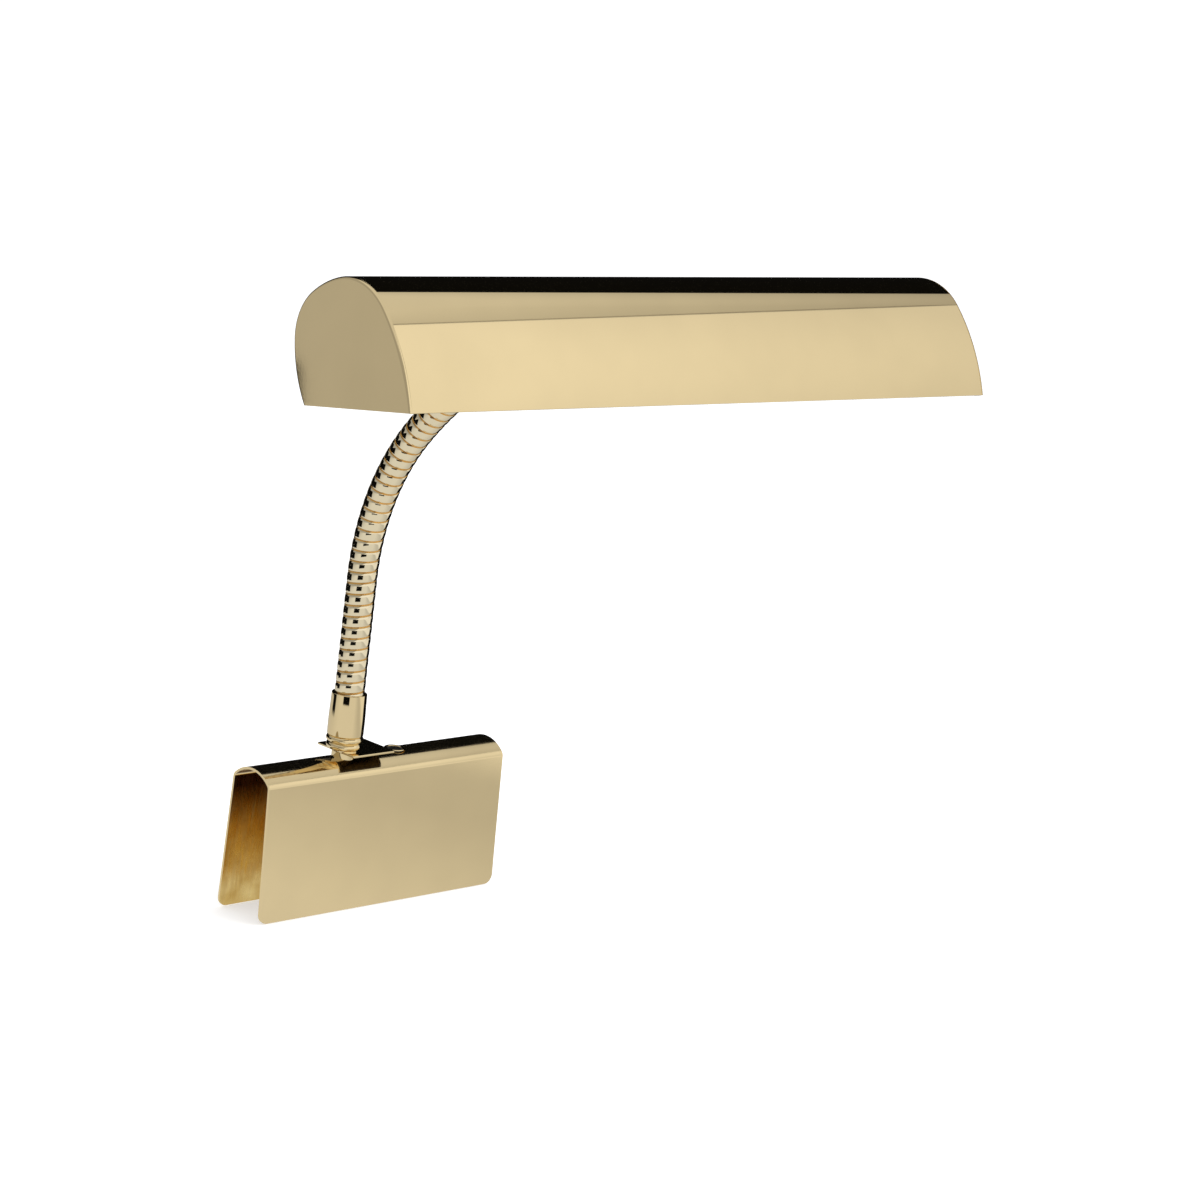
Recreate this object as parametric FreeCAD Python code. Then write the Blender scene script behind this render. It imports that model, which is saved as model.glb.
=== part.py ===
import FreeCAD, Part
import math
import os

# Clip-on piano lamp: trough shade on a gooseneck that stands on a sheet clip.
# Millimetres, +Z up. The origin is on the clip's seat, under the gooseneck's foot:
# X runs along the clip, -Y points to the player, and the clip's legs hang down.

os.makedirs("parts", exist_ok=True)

# Clip: one bent sheet with an arched crown and two legs that splay a little
SHEET = 1.2
CLIP_LENGTH = 159.0
CLIP_NEAR_END = -58.8
CLIP_HEIGHT = 75.8
CROWN_RADIUS = 17.85
CROWN_HALF_ANGLE = 45.0
SHOULDER_RADIUS = 3.7
LEG_SPLAY = 2.1
CLIP_CORNER = 5.0
CORD_HOLE_X = 35.2
CORD_HOLE_RADIUS = 4.5
CORD_BORE_RADIUS = 3.2
BUSHING_FLANGE = 0.9
BUSHING_RISE = 0.5
BUSHING_DEPTH = 2.4
THROUGH = 60.0

# Foot of the gooseneck: square plate, threaded nipple, sleeve with two beads
PLATE_SIZE = 28.0
PLATE_LEFT = -5.4
PLATE_SHEET = 1.0
PLATE_CORNER = 1.0
SPACER_HEIGHT = 2.8
SPACER_RADIUS = 5.8
NIPPLE_RADIUS = 4.85
NIPPLE_BORE = 3.4
NUT_FLATS = 14.0
NUT_HEIGHT = 4.0
WASHER_RADIUS = 7.6
WASHER_THICKNESS = 0.9
FERRULE_TOP = 34.0
FERRULE_RADIUS_TOP = 8.9
FERRULE_RADIUS_WAIST = 9.2
BEAD_RADIUS = 1.9
FERRULE_FOOT_RADIUS = 7.5
FERRULE_SEAT = 7.6
COIL_PLAY = 0.1
END_TURNS_BELOW = 3
END_TURNS_ABOVE = 1
SET_SCREW_RADIUS = 1.2
SET_SCREW_HEIGHT = 25.0
WASHER_TOP = -1.9
NIPPLE_PROUD = 1.2
THREAD_CHAMFER = 0.6

# Gooseneck: a vertical run and two bends in one upright plane
NECK_RUN = 92.1
BEND_LOW_RADIUS = 123.0
BEND_LOW_ANGLE = 40.0
BEND_HIGH_RADIUS = 200.0
BEND_HIGH_ANGLE = 40.1
NECK_TWIST = -3.0
COIL_RADIUS = 7.6
COIL_BORE = 5.75
COIL_WIDTH = 4.55
COIL_CROWN = 0.7
SPRING_RADIUS = 5.7
SPRING_BORE = 4.2
SEGMENTS = 8
TURNS_PER_SEGMENT = 6
SPRING_GAP = 1.0
COLLAR_LENGTH = 14.0
COLLAR_FLANGE_RADIUS = 11.0
COLLAR_FLANGE = 1.6
COLLAR_FLOOR = 4.0
COLLAR_PLAY = 0.4

# Shade: a trough of constant section, front wall flat, rear wall round
SHADE_LENGTH = 355.6
SHADE_WIDTH = 76.2
SHADE_TILT = -9.9
SHADE_SHEET = 0.9
CAP_THICKNESS = 1.3
CAP_EDGE = 1.0
CAP_LIP_DEPTH = 4.0
CAP_LIP_SHEET = 0.7
SECTION_START = 82.5
SECTION_ARCS = ((95.8, 27.6), (30.6, 61.7), (50.9, 22.1), (23.8, 58.3), (55.8, 30.1))
NECK_ENTRY_HEIGHT = 26.0
NECK_ENTRY_GAP = 2.0

# Lamp holders and lamps inside the shade
LAMP_AXIS_Y = 4.0
LAMP_AXIS_Z = 27.0
SPACER_RING_RADIUS = 7.0
SOCKET_SCREW_RADIUS = 1.95
SOCKET_SCREW_HOLE = 2.0
SCREW_HEAD_RADIUS = 3.6
SCREW_HEAD_HEIGHT = 2.2
BRACKET_SHEET = 1.5
BRACKET_HALF_LENGTH = 16.0
BRACKET_HEIGHT = 20.0
BRACKET_BACK_Y = 34.0
BRACKET_FRONT_Y = -6.0
SOCKET_LENGTH = 32.0
SOCKET_RADIUS = 16.8
SOCKET_FLOOR = 4.0
SOCKET_BORE = 14.1
SOCKET_EDGE = 1.0
SCREW_SHELL_RADIUS = 14.0
SCREW_SHELL_BORE = 13.4
LAMP_BASE_RADIUS = 13.2
LAMP_BASE_LENGTH = 25.0
LAMP_GLASS_RADIUS = 16.0
LAMP_TIP_X = 163.0
GLASS_WALL = 0.9
STEM_LENGTH = 18.9
STEM_RADIUS = 8.0
STEM_TIP_RADIUS = 3.0
MOUNT_RADIUS = 1.2
SUPPORT_RADIUS = 0.35
SUPPORT_HEIGHT = 6.0
FILAMENT_RADIUS = 0.8
FILAMENT_FROM_TIP = 22.0
WIRE_RADIUS = 0.9
WIRE_SPACING = 1.6
WIRE_CLEAR_Y = 20.0
WIRE_SOCKET_Y = 13.0

X_AXIS = FreeCAD.Vector(1, 0, 0)
Y_AXIS = FreeCAD.Vector(0, 1, 0)
Z_AXIS = FreeCAD.Vector(0, 0, 1)
ORIGIN = FreeCAD.Vector(0, 0, 0)


def vec(x, y, z):
    return FreeCAD.Vector(x, y, z)


def save(name, shape):
    """Write one node, after a check that every solid in it is sound."""
    for solid in shape.Solids:
        if not solid.isValid() or solid.Volume <= 0:
            raise ValueError("unsound solid in " + name)
    shape.exportStep("parts/" + name + ".step")


def turned(points, axis_start, axis_dir):
    """Solid of revolution of a closed outline round an axis."""
    face = Part.Face(Part.makePolygon(points + points[:1]))
    return face.revolve(axis_start, axis_dir, 360)


def tube(radius, bore, length, base, direction):
    body = Part.makeCylinder(radius, length, base, direction)
    return body.cut(Part.makeCylinder(bore, length, base, direction))


def hexagon(flats, height, base, direction, bore):
    """Hexagonal nut with a round bore."""
    radius = flats / math.sqrt(3)
    corners = []
    for index in range(7):
        angle = math.radians(60 * index)
        corners.append(vec(radius * math.cos(angle), radius * math.sin(angle), 0))
    nut = Part.Face(Part.makePolygon(corners)).extrude(vec(0, 0, height))
    nut = nut.cut(Part.makeCylinder(bore, height))
    nut.Placement = FreeCAD.Placement(base, FreeCAD.Rotation(Z_AXIS, direction))
    return nut


def arc_chain(start, heading, arcs, offset=0.0):
    """Tangent arcs that turn clockwise in the plane of (across, up).

    The arcs are (radius, turn in degrees). An offset moves the whole chain
    towards the centres. The edges lie in the plane X = 0.
    """
    across, up = start
    angle = math.radians(heading)
    edges = []
    for radius, turn in arcs:
        centre_across = across + radius * math.sin(angle)
        centre_up = up - radius * math.cos(angle)
        points = []
        run = radius - offset
        for share in (0.0, 0.5, 1.0):
            here = angle - math.radians(turn) * share
            points.append(vec(0, centre_across - run * math.sin(here), centre_up + run * math.cos(here)))
        edges.append(Part.Arc(points[0], points[1], points[2]).toShape())
        angle -= math.radians(turn)
        across = centre_across - radius * math.sin(angle)
        up = centre_up + radius * math.cos(angle)
    return edges


def chain_ends(edges):
    return edges[0].valueAt(edges[0].FirstParameter), edges[-1].valueAt(edges[-1].LastParameter)


def band_face(outer, inner):
    """Face between two arc chains, closed by straight ends."""
    outer_start, outer_end = chain_ends(outer)
    inner_start, inner_end = chain_ends(inner)
    edges = list(outer)
    edges.append(Part.makeLine(outer_end, inner_end))
    edges += list(reversed(inner))
    edges.append(Part.makeLine(inner_start, outer_start))
    return Part.Face(Part.Wire(Part.__sortEdges__(edges)))


def closed_face(chain):
    start, end = chain_ends(chain)
    edges = list(chain)
    edges.append(Part.makeLine(end, start))
    return Part.Face(Part.Wire(Part.__sortEdges__(edges)))


def clip_half_section(offset):
    """Arcs of the crown from its top towards the rear leg."""
    shoulder_turn = 90.0 - LEG_SPLAY - CROWN_HALF_ANGLE
    arcs = ((CROWN_RADIUS, CROWN_HALF_ANGLE), (SHOULDER_RADIUS, shoulder_turn))
    return arc_chain((0.0, SHEET), 0.0, arcs, offset)


def clip_leg_foot(start):
    """Lower end of a leg's face that begins at the given point."""
    drop = start.z - (SHEET - CLIP_HEIGHT)
    return vec(0, start.y + drop * math.tan(math.radians(LEG_SPLAY)), SHEET - CLIP_HEIGHT)


def make_clip():
    outer = clip_half_section(0.0)
    inner = clip_half_section(SHEET)
    outer_side = chain_ends(outer)[1]
    inner_side = chain_ends(inner)[1]
    edges = list(outer)
    edges.append(Part.makeLine(outer_side, clip_leg_foot(outer_side)))
    edges.append(Part.makeLine(clip_leg_foot(outer_side), clip_leg_foot(inner_side)))
    edges.append(Part.makeLine(clip_leg_foot(inner_side), inner_side))
    edges += inner
    edges.append(Part.makeLine(chain_ends(inner)[0], chain_ends(outer)[0]))
    half = Part.Face(Part.Wire(Part.__sortEdges__(edges)))
    solid = half.extrude(vec(CLIP_LENGTH, 0, 0))
    solid.translate(vec(CLIP_NEAR_END, 0, 0))
    mirrored = solid.mirror(ORIGIN, Y_AXIS)
    clip = solid.fuse(mirrored).removeSplitter()
    bottom = SHEET - CLIP_HEIGHT
    for x_end, sign in ((CLIP_NEAR_END, 1), (CLIP_NEAR_END + CLIP_LENGTH, -1)):
        middle_x = x_end + sign * CLIP_CORNER
        low = vec(min(x_end, middle_x), -THROUGH / 2, bottom)
        block = Part.makeBox(CLIP_CORNER, THROUGH, CLIP_CORNER, low)
        centre = vec(middle_x, -THROUGH / 2, bottom + CLIP_CORNER)
        clip = clip.cut(block.cut(Part.makeCylinder(CLIP_CORNER, THROUGH, centre, Y_AXIS)))
    for x, radius in ((0, NIPPLE_RADIUS), (CORD_HOLE_X, CORD_HOLE_RADIUS)):
        clip = clip.cut(Part.makeCylinder(radius, THROUGH, vec(x, 0, -THROUGH / 2), Z_AXIS))
    return clip


def make_cord_bushing():
    """Ring with a flange on the crown, round the hole that the cord leaves by."""
    rim = CORD_HOLE_RADIUS + BUSHING_FLANGE
    chamfer = 0.3
    points = [
        vec(CORD_BORE_RADIUS, 0, -BUSHING_DEPTH),
        vec(CORD_HOLE_RADIUS, 0, -BUSHING_DEPTH),
        vec(CORD_HOLE_RADIUS, 0, SHEET),
        vec(rim, 0, SHEET),
        vec(rim - chamfer, 0, SHEET + BUSHING_RISE),
        vec(CORD_BORE_RADIUS + chamfer, 0, SHEET + BUSHING_RISE),
        vec(CORD_BORE_RADIUS, 0, SHEET + BUSHING_RISE - chamfer),
    ]
    ring = turned(points, ORIGIN, Z_AXIS)
    ring.translate(vec(CORD_HOLE_X, 0, 0))
    return ring


PLATE_FLOOR = SHEET + SPACER_HEIGHT
PLATE_TOP = PLATE_FLOOR + PLATE_SHEET


def make_spacer():
    """Turned disc between the arched crown and the flat plate."""
    overlap = 2.0
    disc = tube(SPACER_RADIUS, NIPPLE_RADIUS, SPACER_HEIGHT + overlap, vec(0, 0, SHEET - overlap), Z_AXIS)
    crown = Part.makeCylinder(CROWN_RADIUS, THROUGH, vec(-THROUGH / 2, 0, SHEET - CROWN_RADIUS), X_AXIS)
    return disc.cut(crown)


def make_plate():
    """Flat square plate across the crown, on which the ferrule stands near one edge."""
    low = vec(PLATE_LEFT, -PLATE_SIZE / 2, PLATE_FLOOR)
    plate = Part.makeBox(PLATE_SIZE, PLATE_SIZE, PLATE_SHEET, low)
    corners = []
    for edge in plate.Edges:
        if abs(edge.CenterOfMass.z - (PLATE_FLOOR + PLATE_TOP) / 2) < 0.01:
            corners.append(edge)
    plate = plate.makeFillet(PLATE_CORNER, corners)
    return plate.cut(Part.makeCylinder(NIPPLE_RADIUS, THROUGH, vec(0, 0, -THROUGH / 2), Z_AXIS))


def make_ferrule():
    """Sleeve round the neck's lower end: foot, two beads and a slightly swollen barrel."""
    low_bead = PLATE_TOP + 0.6 + BEAD_RADIUS * 0.8
    high_bead = low_bead + 2.0 * BEAD_RADIUS * 0.9
    barrel_start = high_bead + BEAD_RADIUS
    barrel = (
        (barrel_start, FERRULE_RADIUS_WAIST),
        (barrel_start + 8.0, FERRULE_RADIUS_WAIST),
        (FERRULE_TOP - 4.0, FERRULE_RADIUS_TOP + 0.1),
        (FERRULE_TOP, FERRULE_RADIUS_TOP),
    )
    points = [vec(NIPPLE_RADIUS, 0, PLATE_TOP), vec(FERRULE_FOOT_RADIUS, 0, PLATE_TOP)]
    points.append(vec(FERRULE_FOOT_RADIUS, 0, barrel_start))
    for height, radius in barrel:
        points.append(vec(radius, 0, height))
    seat = PLATE_TOP + FERRULE_SEAT
    points.append(vec(COIL_RADIUS + COIL_PLAY, 0, FERRULE_TOP))
    points.append(vec(COIL_RADIUS + COIL_PLAY, 0, seat))
    points.append(vec(NIPPLE_RADIUS, 0, seat))
    body = turned(points, ORIGIN, Z_AXIS)
    for height, radius in ((low_bead, FERRULE_FOOT_RADIUS - 0.3), (high_bead, FERRULE_FOOT_RADIUS)):
        body = body.fuse(Part.makeTorus(radius, BEAD_RADIUS, vec(0, 0, height), Z_AXIS))
    return body.cut(set_screw_hole())


def set_screw_hole():
    """Radial hole in the ferrule for the screw that grips the neck."""
    start = vec(-FERRULE_RADIUS_WAIST - 1.5, 0, SET_SCREW_HEIGHT)
    return Part.makeCylinder(SET_SCREW_RADIUS, 4, start, X_AXIS)


def make_set_screw():
    sunk = 0.4
    slot_width = 0.4
    start = vec(-FERRULE_RADIUS_TOP + sunk, 0, SET_SCREW_HEIGHT)
    length = FERRULE_RADIUS_TOP - sunk - COIL_RADIUS - COIL_PLAY / 2
    screw = Part.makeCylinder(SET_SCREW_RADIUS, length, start, X_AXIS)
    slot_corner = start - vec(0, SET_SCREW_RADIUS, slot_width / 2)
    slot = Part.makeBox(0.35, 2 * SET_SCREW_RADIUS, slot_width, slot_corner)
    return screw.cut(slot)


def neck_point(distance):
    """Centre and heading of the neck at a distance along it, in its own upright plane.

    The result is (forward, up, angle from the vertical in degrees).
    """
    if distance <= NECK_RUN:
        return 0.0, distance, 0.0
    if distance > NECK_LENGTH:
        forward, up, angle = neck_point(NECK_LENGTH)
        beyond = distance - NECK_LENGTH
        run = math.radians(angle)
        return forward + beyond * math.sin(run), up + beyond * math.cos(run), angle
    rest = distance - NECK_RUN
    low_arc = math.radians(BEND_LOW_ANGLE) * BEND_LOW_RADIUS
    if rest <= low_arc:
        angle = rest / BEND_LOW_RADIUS
        forward = BEND_LOW_RADIUS * (1 - math.cos(angle))
        return forward, NECK_RUN + BEND_LOW_RADIUS * math.sin(angle), math.degrees(angle)
    start = math.radians(BEND_LOW_ANGLE)
    angle = start + (rest - low_arc) / BEND_HIGH_RADIUS
    forward = BEND_LOW_RADIUS * (1 - math.cos(start))
    forward += BEND_HIGH_RADIUS * (math.cos(start) - math.cos(angle))
    up = NECK_RUN + BEND_LOW_RADIUS * math.sin(start)
    up += BEND_HIGH_RADIUS * (math.sin(angle) - math.sin(start))
    return forward, up, math.degrees(angle)


NECK_LENGTH = (
    NECK_RUN
    + math.radians(BEND_LOW_ANGLE) * BEND_LOW_RADIUS
    + math.radians(BEND_HIGH_ANGLE) * BEND_HIGH_RADIUS
)
COIL_START = FERRULE_TOP
COIL_END = NECK_LENGTH - COLLAR_LENGTH + NECK_ENTRY_GAP
COIL_PITCH = (COIL_END - COIL_START) / (SEGMENTS * TURNS_PER_SEGMENT)
TWIST = FreeCAD.Placement(ORIGIN, FreeCAD.Rotation(Z_AXIS, NECK_TWIST))


def neck_placement(distance):
    """Placement with +Z along the neck and +X across its plane."""
    forward, up, angle = neck_point(distance)
    turn = FreeCAD.Rotation(X_AXIS, angle)
    return TWIST.multiply(FreeCAD.Placement(vec(0, -forward, up), turn))


def coil_ring():
    """One turn of the outer winding, as a ring with a rounded back, centred on Z = 0."""
    half = COIL_WIDTH / 2
    shoulder = COIL_RADIUS - COIL_CROWN
    edges = [
        Part.makeLine(vec(COIL_BORE, 0, -half), vec(shoulder, 0, -half)),
        Part.Arc(vec(shoulder, 0, -half), vec(COIL_RADIUS, 0, 0), vec(shoulder, 0, half)).toShape(),
        Part.makeLine(vec(shoulder, 0, half), vec(COIL_BORE, 0, half)),
        Part.makeLine(vec(COIL_BORE, 0, half), vec(COIL_BORE, 0, -half)),
    ]
    return Part.Face(Part.Wire(edges)).revolve(ORIGIN, Z_AXIS, 360)


def make_turns(first, last):
    """Rings of the outer winding, from one turn up to another."""
    rings = []
    for turn in range(first, last):
        ring = coil_ring()
        ring.Placement = neck_placement(COIL_START + (turn + 0.5) * COIL_PITCH)
        rings.append(ring)
    return Part.makeCompound(rings)


def make_spring(first, last):
    """Turns of the inner spring under one stretch of the winding, as short tubes."""
    length = COIL_PITCH - SPRING_GAP
    turns = []
    for turn in range(first, last):
        ring = tube(SPRING_RADIUS, SPRING_BORE, length, vec(0, 0, -length / 2), Z_AXIS)
        ring.Placement = neck_placement(COIL_START + (turn + 0.5) * COIL_PITCH)
        turns.append(ring)
    return Part.makeCompound(turns)


SHADE_ORIGIN_FORWARD, SHADE_ORIGIN_UP, NECK_END_ANGLE = neck_point(NECK_LENGTH)


def shade_placement():
    """Placement of the shade's own frame: origin mid-length on the opening's level.

    In that frame X is along the shade, -Y to the front edge and Z to the crown.
    """
    tilt = FreeCAD.Rotation(X_AXIS, SHADE_TILT)
    entry = tilt.multVec(vec(0, SHADE_WIDTH / 2 + NECK_ENTRY_GAP, NECK_ENTRY_HEIGHT))
    base = vec(0, -SHADE_ORIGIN_FORWARD, SHADE_ORIGIN_UP) - entry
    return TWIST.multiply(FreeCAD.Placement(base, tilt))


SHADE = shade_placement()


def in_shade(shape):
    placed = shape.copy()
    placed.Placement = SHADE.multiply(placed.Placement)
    return placed


def section_chain(offset):
    """Shade's section from its front edge over the crown to its rear edge."""
    return arc_chain((-SHADE_WIDTH / 2, 0.0), SECTION_START, SECTION_ARCS, offset)


def extruded(face, low_x, length):
    solid = face.extrude(vec(length, 0, 0))
    solid.translate(vec(low_x, 0, 0))
    return solid


def make_shade_shell():
    face = band_face(section_chain(0.0), section_chain(SHADE_SHEET))
    length = SHADE_LENGTH - 2 * CAP_THICKNESS
    shell = extruded(face, -length / 2, length)
    hole = Part.makeCylinder(NIPPLE_RADIUS, 20, vec(0, SHADE_WIDTH / 2 - 10, NECK_ENTRY_HEIGHT), Y_AXIS)
    return shell.cut(hole)


def make_end_cap(side):
    """Flat cap with a rounded rim, and a lip that goes inside the shell."""
    plate = extruded(closed_face(section_chain(0.0)), 0.0, CAP_THICKNESS)
    rim = []
    for edge in plate.Edges:
        if abs(edge.CenterOfMass.x - CAP_THICKNESS) < 0.001 and edge.CenterOfMass.z > 2.0:
            rim.append(edge)
    plate = plate.makeFillet(CAP_EDGE, rim)
    lip_outer = section_chain(SHADE_SHEET)
    lip_inner = section_chain(SHADE_SHEET + CAP_LIP_SHEET)
    lip = extruded(band_face(lip_outer, lip_inner), -CAP_LIP_DEPTH, CAP_LIP_DEPTH)
    cap = plate.fuse(lip)
    cap.translate(vec(SHADE_LENGTH / 2 - CAP_THICKNESS, 0, 0))
    if side < 0:
        cap = cap.mirror(ORIGIN, X_AXIS)
    return cap


def make_collar():
    """Cup on the shade's rear wall that the neck's upper end sits in."""
    wall = SHADE_WIDTH / 2
    bore = COIL_RADIUS + COLLAR_PLAY
    points = [
        vec(0, wall, NIPPLE_RADIUS),
        vec(0, wall, COLLAR_FLANGE_RADIUS),
        vec(0, wall + COLLAR_FLANGE, COLLAR_FLANGE_RADIUS),
        vec(0, wall + COLLAR_FLANGE + 1.0, FERRULE_RADIUS_TOP),
        vec(0, wall + COLLAR_LENGTH, FERRULE_RADIUS_TOP),
        vec(0, wall + COLLAR_LENGTH, bore),
        vec(0, wall + COLLAR_FLOOR, bore),
        vec(0, wall + COLLAR_FLOOR, NIPPLE_RADIUS),
    ]
    collar = turned(points, ORIGIN, Y_AXIS)
    collar.translate(vec(0, 0, NECK_ENTRY_HEIGHT))
    return collar


def threaded_tube(length, base, direction):
    """Hollow nipple with a small chamfer at each end."""
    points = [
        vec(NIPPLE_BORE, 0, 0),
        vec(NIPPLE_RADIUS - THREAD_CHAMFER, 0, 0),
        vec(NIPPLE_RADIUS, 0, THREAD_CHAMFER),
        vec(NIPPLE_RADIUS, 0, length - THREAD_CHAMFER),
        vec(NIPPLE_RADIUS - THREAD_CHAMFER, 0, length),
        vec(NIPPLE_BORE, 0, length),
    ]
    nipple = turned(points, ORIGIN, Z_AXIS)
    nipple.Placement = FreeCAD.Placement(base, FreeCAD.Rotation(Z_AXIS, direction))
    return nipple


def make_bracket():
    """U strap inside the shade: its back is held by the nipple, its arms carry the sockets."""
    depth = BRACKET_BACK_Y - BRACKET_FRONT_Y
    low = vec(-BRACKET_HALF_LENGTH, BRACKET_FRONT_Y, LAMP_AXIS_Z - BRACKET_HEIGHT / 2)
    block = Part.makeBox(2 * BRACKET_HALF_LENGTH, depth, BRACKET_HEIGHT, low)
    inside = Part.makeBox(
        2 * (BRACKET_HALF_LENGTH - BRACKET_SHEET),
        depth - BRACKET_SHEET,
        BRACKET_HEIGHT,
        low + vec(BRACKET_SHEET, 0, 0),
    )
    strap = block.cut(inside)
    hole = Part.makeCylinder(NIPPLE_RADIUS, 10, vec(0, BRACKET_BACK_Y - 5, NECK_ENTRY_HEIGHT), Y_AXIS)
    strap = strap.cut(hole)
    start = vec(-THROUGH / 2, LAMP_AXIS_Y, LAMP_AXIS_Z)
    screw_hole = Part.makeCylinder(SOCKET_SCREW_HOLE, THROUGH, start, X_AXIS)
    return strap.cut(screw_hole)


def on_lamp_axis(shape):
    shape.translate(vec(0, LAMP_AXIS_Y, LAMP_AXIS_Z))
    return shape


def lathe_x(profile):
    """Turn (x, radius) points round the lamps' axis."""
    points = []
    for x, radius in profile:
        points.append(vec(x, 0, radius))
    return on_lamp_axis(turned(points, ORIGIN, X_AXIS))


def mirrored_pair(maker):
    """The right-hand piece and its mirror image on the left."""
    right = maker()
    left = right.mirror(ORIGIN, X_AXIS)
    return right, left


SOCKET_START = BRACKET_HALF_LENGTH
SHELL_START = SOCKET_START + SOCKET_FLOOR
LAMP_START = SHELL_START + 2.6
LAMP_BASE_END = LAMP_START + LAMP_BASE_LENGTH


def make_socket_body():
    end = SOCKET_START + SOCKET_LENGTH
    profile = (
        (SOCKET_START, SOCKET_SCREW_HOLE),
        (SOCKET_START, SOCKET_RADIUS - SOCKET_EDGE),
        (SOCKET_START + SOCKET_EDGE, SOCKET_RADIUS),
        (end - SOCKET_EDGE, SOCKET_RADIUS),
        (end, SOCKET_RADIUS - SOCKET_EDGE),
        (end, SOCKET_BORE),
        (SHELL_START, SOCKET_BORE),
        (SHELL_START, SOCKET_SCREW_HOLE),
    )
    return lathe_x(profile)


def make_screw_shell():
    end = SOCKET_START + SOCKET_LENGTH - 1.0
    profile = (
        (SHELL_START, SCREW_SHELL_RADIUS - 4.0),
        (SHELL_START, SCREW_SHELL_RADIUS),
        (end, SCREW_SHELL_RADIUS),
        (end, SCREW_SHELL_BORE),
        (SHELL_START + 0.6, SCREW_SHELL_BORE),
        (SHELL_START + 0.6, SCREW_SHELL_RADIUS - 4.0),
    )
    return lathe_x(profile)


def make_socket_contact():
    profile = (
        (SHELL_START, 2.1),
        (SHELL_START, 5.0),
        (SHELL_START + 1.4, 5.0),
        (SHELL_START + 2.0, 2.1),
    )
    return lathe_x(profile)


def make_socket_screw():
    """Screw from inside the strap into the socket's floor."""
    head = SOCKET_START - BRACKET_SHEET
    profile = (
        (head - SCREW_HEAD_HEIGHT, 0.0),
        (head - SCREW_HEAD_HEIGHT, SCREW_HEAD_RADIUS - 1.0),
        (head - SCREW_HEAD_HEIGHT + 1.0, SCREW_HEAD_RADIUS),
        (head, SCREW_HEAD_RADIUS),
        (head, SOCKET_SCREW_RADIUS),
        (SHELL_START + 1.6, SOCKET_SCREW_RADIUS),
        (SHELL_START + 1.6, 0.0),
    )
    return lathe_x(profile)


def make_lamp_base():
    profile = (
        (LAMP_START + 2.0, 4.0),
        (LAMP_START + 1.6, 8.0),
        (LAMP_START + 5.0, LAMP_BASE_RADIUS),
        (LAMP_BASE_END, LAMP_BASE_RADIUS),
        (LAMP_BASE_END, LAMP_BASE_RADIUS - 0.5),
        (LAMP_START + 5.4, LAMP_BASE_RADIUS - 0.5),
        (LAMP_START + 3.0, 8.0),
        (LAMP_START + 3.0, 4.0),
    )
    return lathe_x(profile)


def make_lamp_contact():
    profile = (
        (LAMP_START - 0.4, 0.0),
        (LAMP_START - 0.4, 2.4),
        (LAMP_START + 1.0, 3.9),
        (LAMP_START + 3.4, 3.9),
        (LAMP_START + 3.4, 0.0),
    )
    return lathe_x(profile)


def glass_outline(wall):
    """Half outline of the tubular glass, moved inwards by the wall."""
    radius = LAMP_GLASS_RADIUS - wall
    neck = LAMP_BASE_RADIUS - 0.6 - wall
    start = LAMP_BASE_END - 8.0
    tip_round = radius * 0.9
    return start, neck, radius, tip_round


def glass_solid(wall):
    start, neck, radius, tip_round = glass_outline(wall)
    tip = LAMP_TIP_X - wall
    low = vec(start + wall, 0, 0)
    edges = [
        Part.makeLine(low, vec(start + wall, 0, neck)),
        Part.makeLine(vec(start + wall, 0, neck), vec(LAMP_BASE_END + 2.0, 0, neck)),
        Part.makeLine(vec(LAMP_BASE_END + 2.0, 0, neck), vec(LAMP_BASE_END + 12.0, 0, radius)),
        Part.makeLine(vec(LAMP_BASE_END + 12.0, 0, radius), vec(tip - tip_round, 0, radius)),
    ]
    diagonal = math.sqrt(0.5)
    shoulder = vec(tip - tip_round + tip_round * diagonal, 0, radius - tip_round + tip_round * diagonal)
    dome = Part.Arc(vec(tip - tip_round, 0, radius), shoulder, vec(tip, 0, radius - tip_round))
    edges.append(dome.toShape())
    edges.append(Part.makeLine(vec(tip, 0, radius - tip_round), vec(tip, 0, 0)))
    edges.append(Part.makeLine(vec(tip, 0, 0), low))
    return Part.Face(Part.Wire(edges)).revolve(ORIGIN, X_AXIS, 360)


def make_lamp_glass():
    return on_lamp_axis(glass_solid(0.0).cut(glass_solid(GLASS_WALL)))


def make_filament():
    """Glass stem with two support wires and the filament's straight coil."""
    stem_end = LAMP_BASE_END + 12.0
    stem_foot = vec(stem_end - STEM_LENGTH, 0, 0)
    filament_start = stem_end + 6.0
    filament_end = LAMP_TIP_X - FILAMENT_FROM_TIP
    stem = Part.makeCone(STEM_RADIUS, STEM_TIP_RADIUS, STEM_LENGTH, stem_foot, X_AXIS)
    rod_length = filament_end - stem_end + 1.0
    mount = stem.fuse(Part.makeCylinder(MOUNT_RADIUS, rod_length, vec(stem_end - 0.5, 0, 0), X_AXIS))
    for x in (filament_start, (filament_start + filament_end) / 2, filament_end):
        mount = mount.fuse(Part.makeCylinder(SUPPORT_RADIUS, SUPPORT_HEIGHT, vec(x, 0, 0), Z_AXIS))
    coil_length = filament_end - filament_start + 2.0
    coil_start = vec(filament_start - 1.0, 0, SUPPORT_HEIGHT)
    coil = Part.makeCylinder(FILAMENT_RADIUS, coil_length, coil_start, X_AXIS)
    return on_lamp_axis(mount.fuse(coil))


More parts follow.
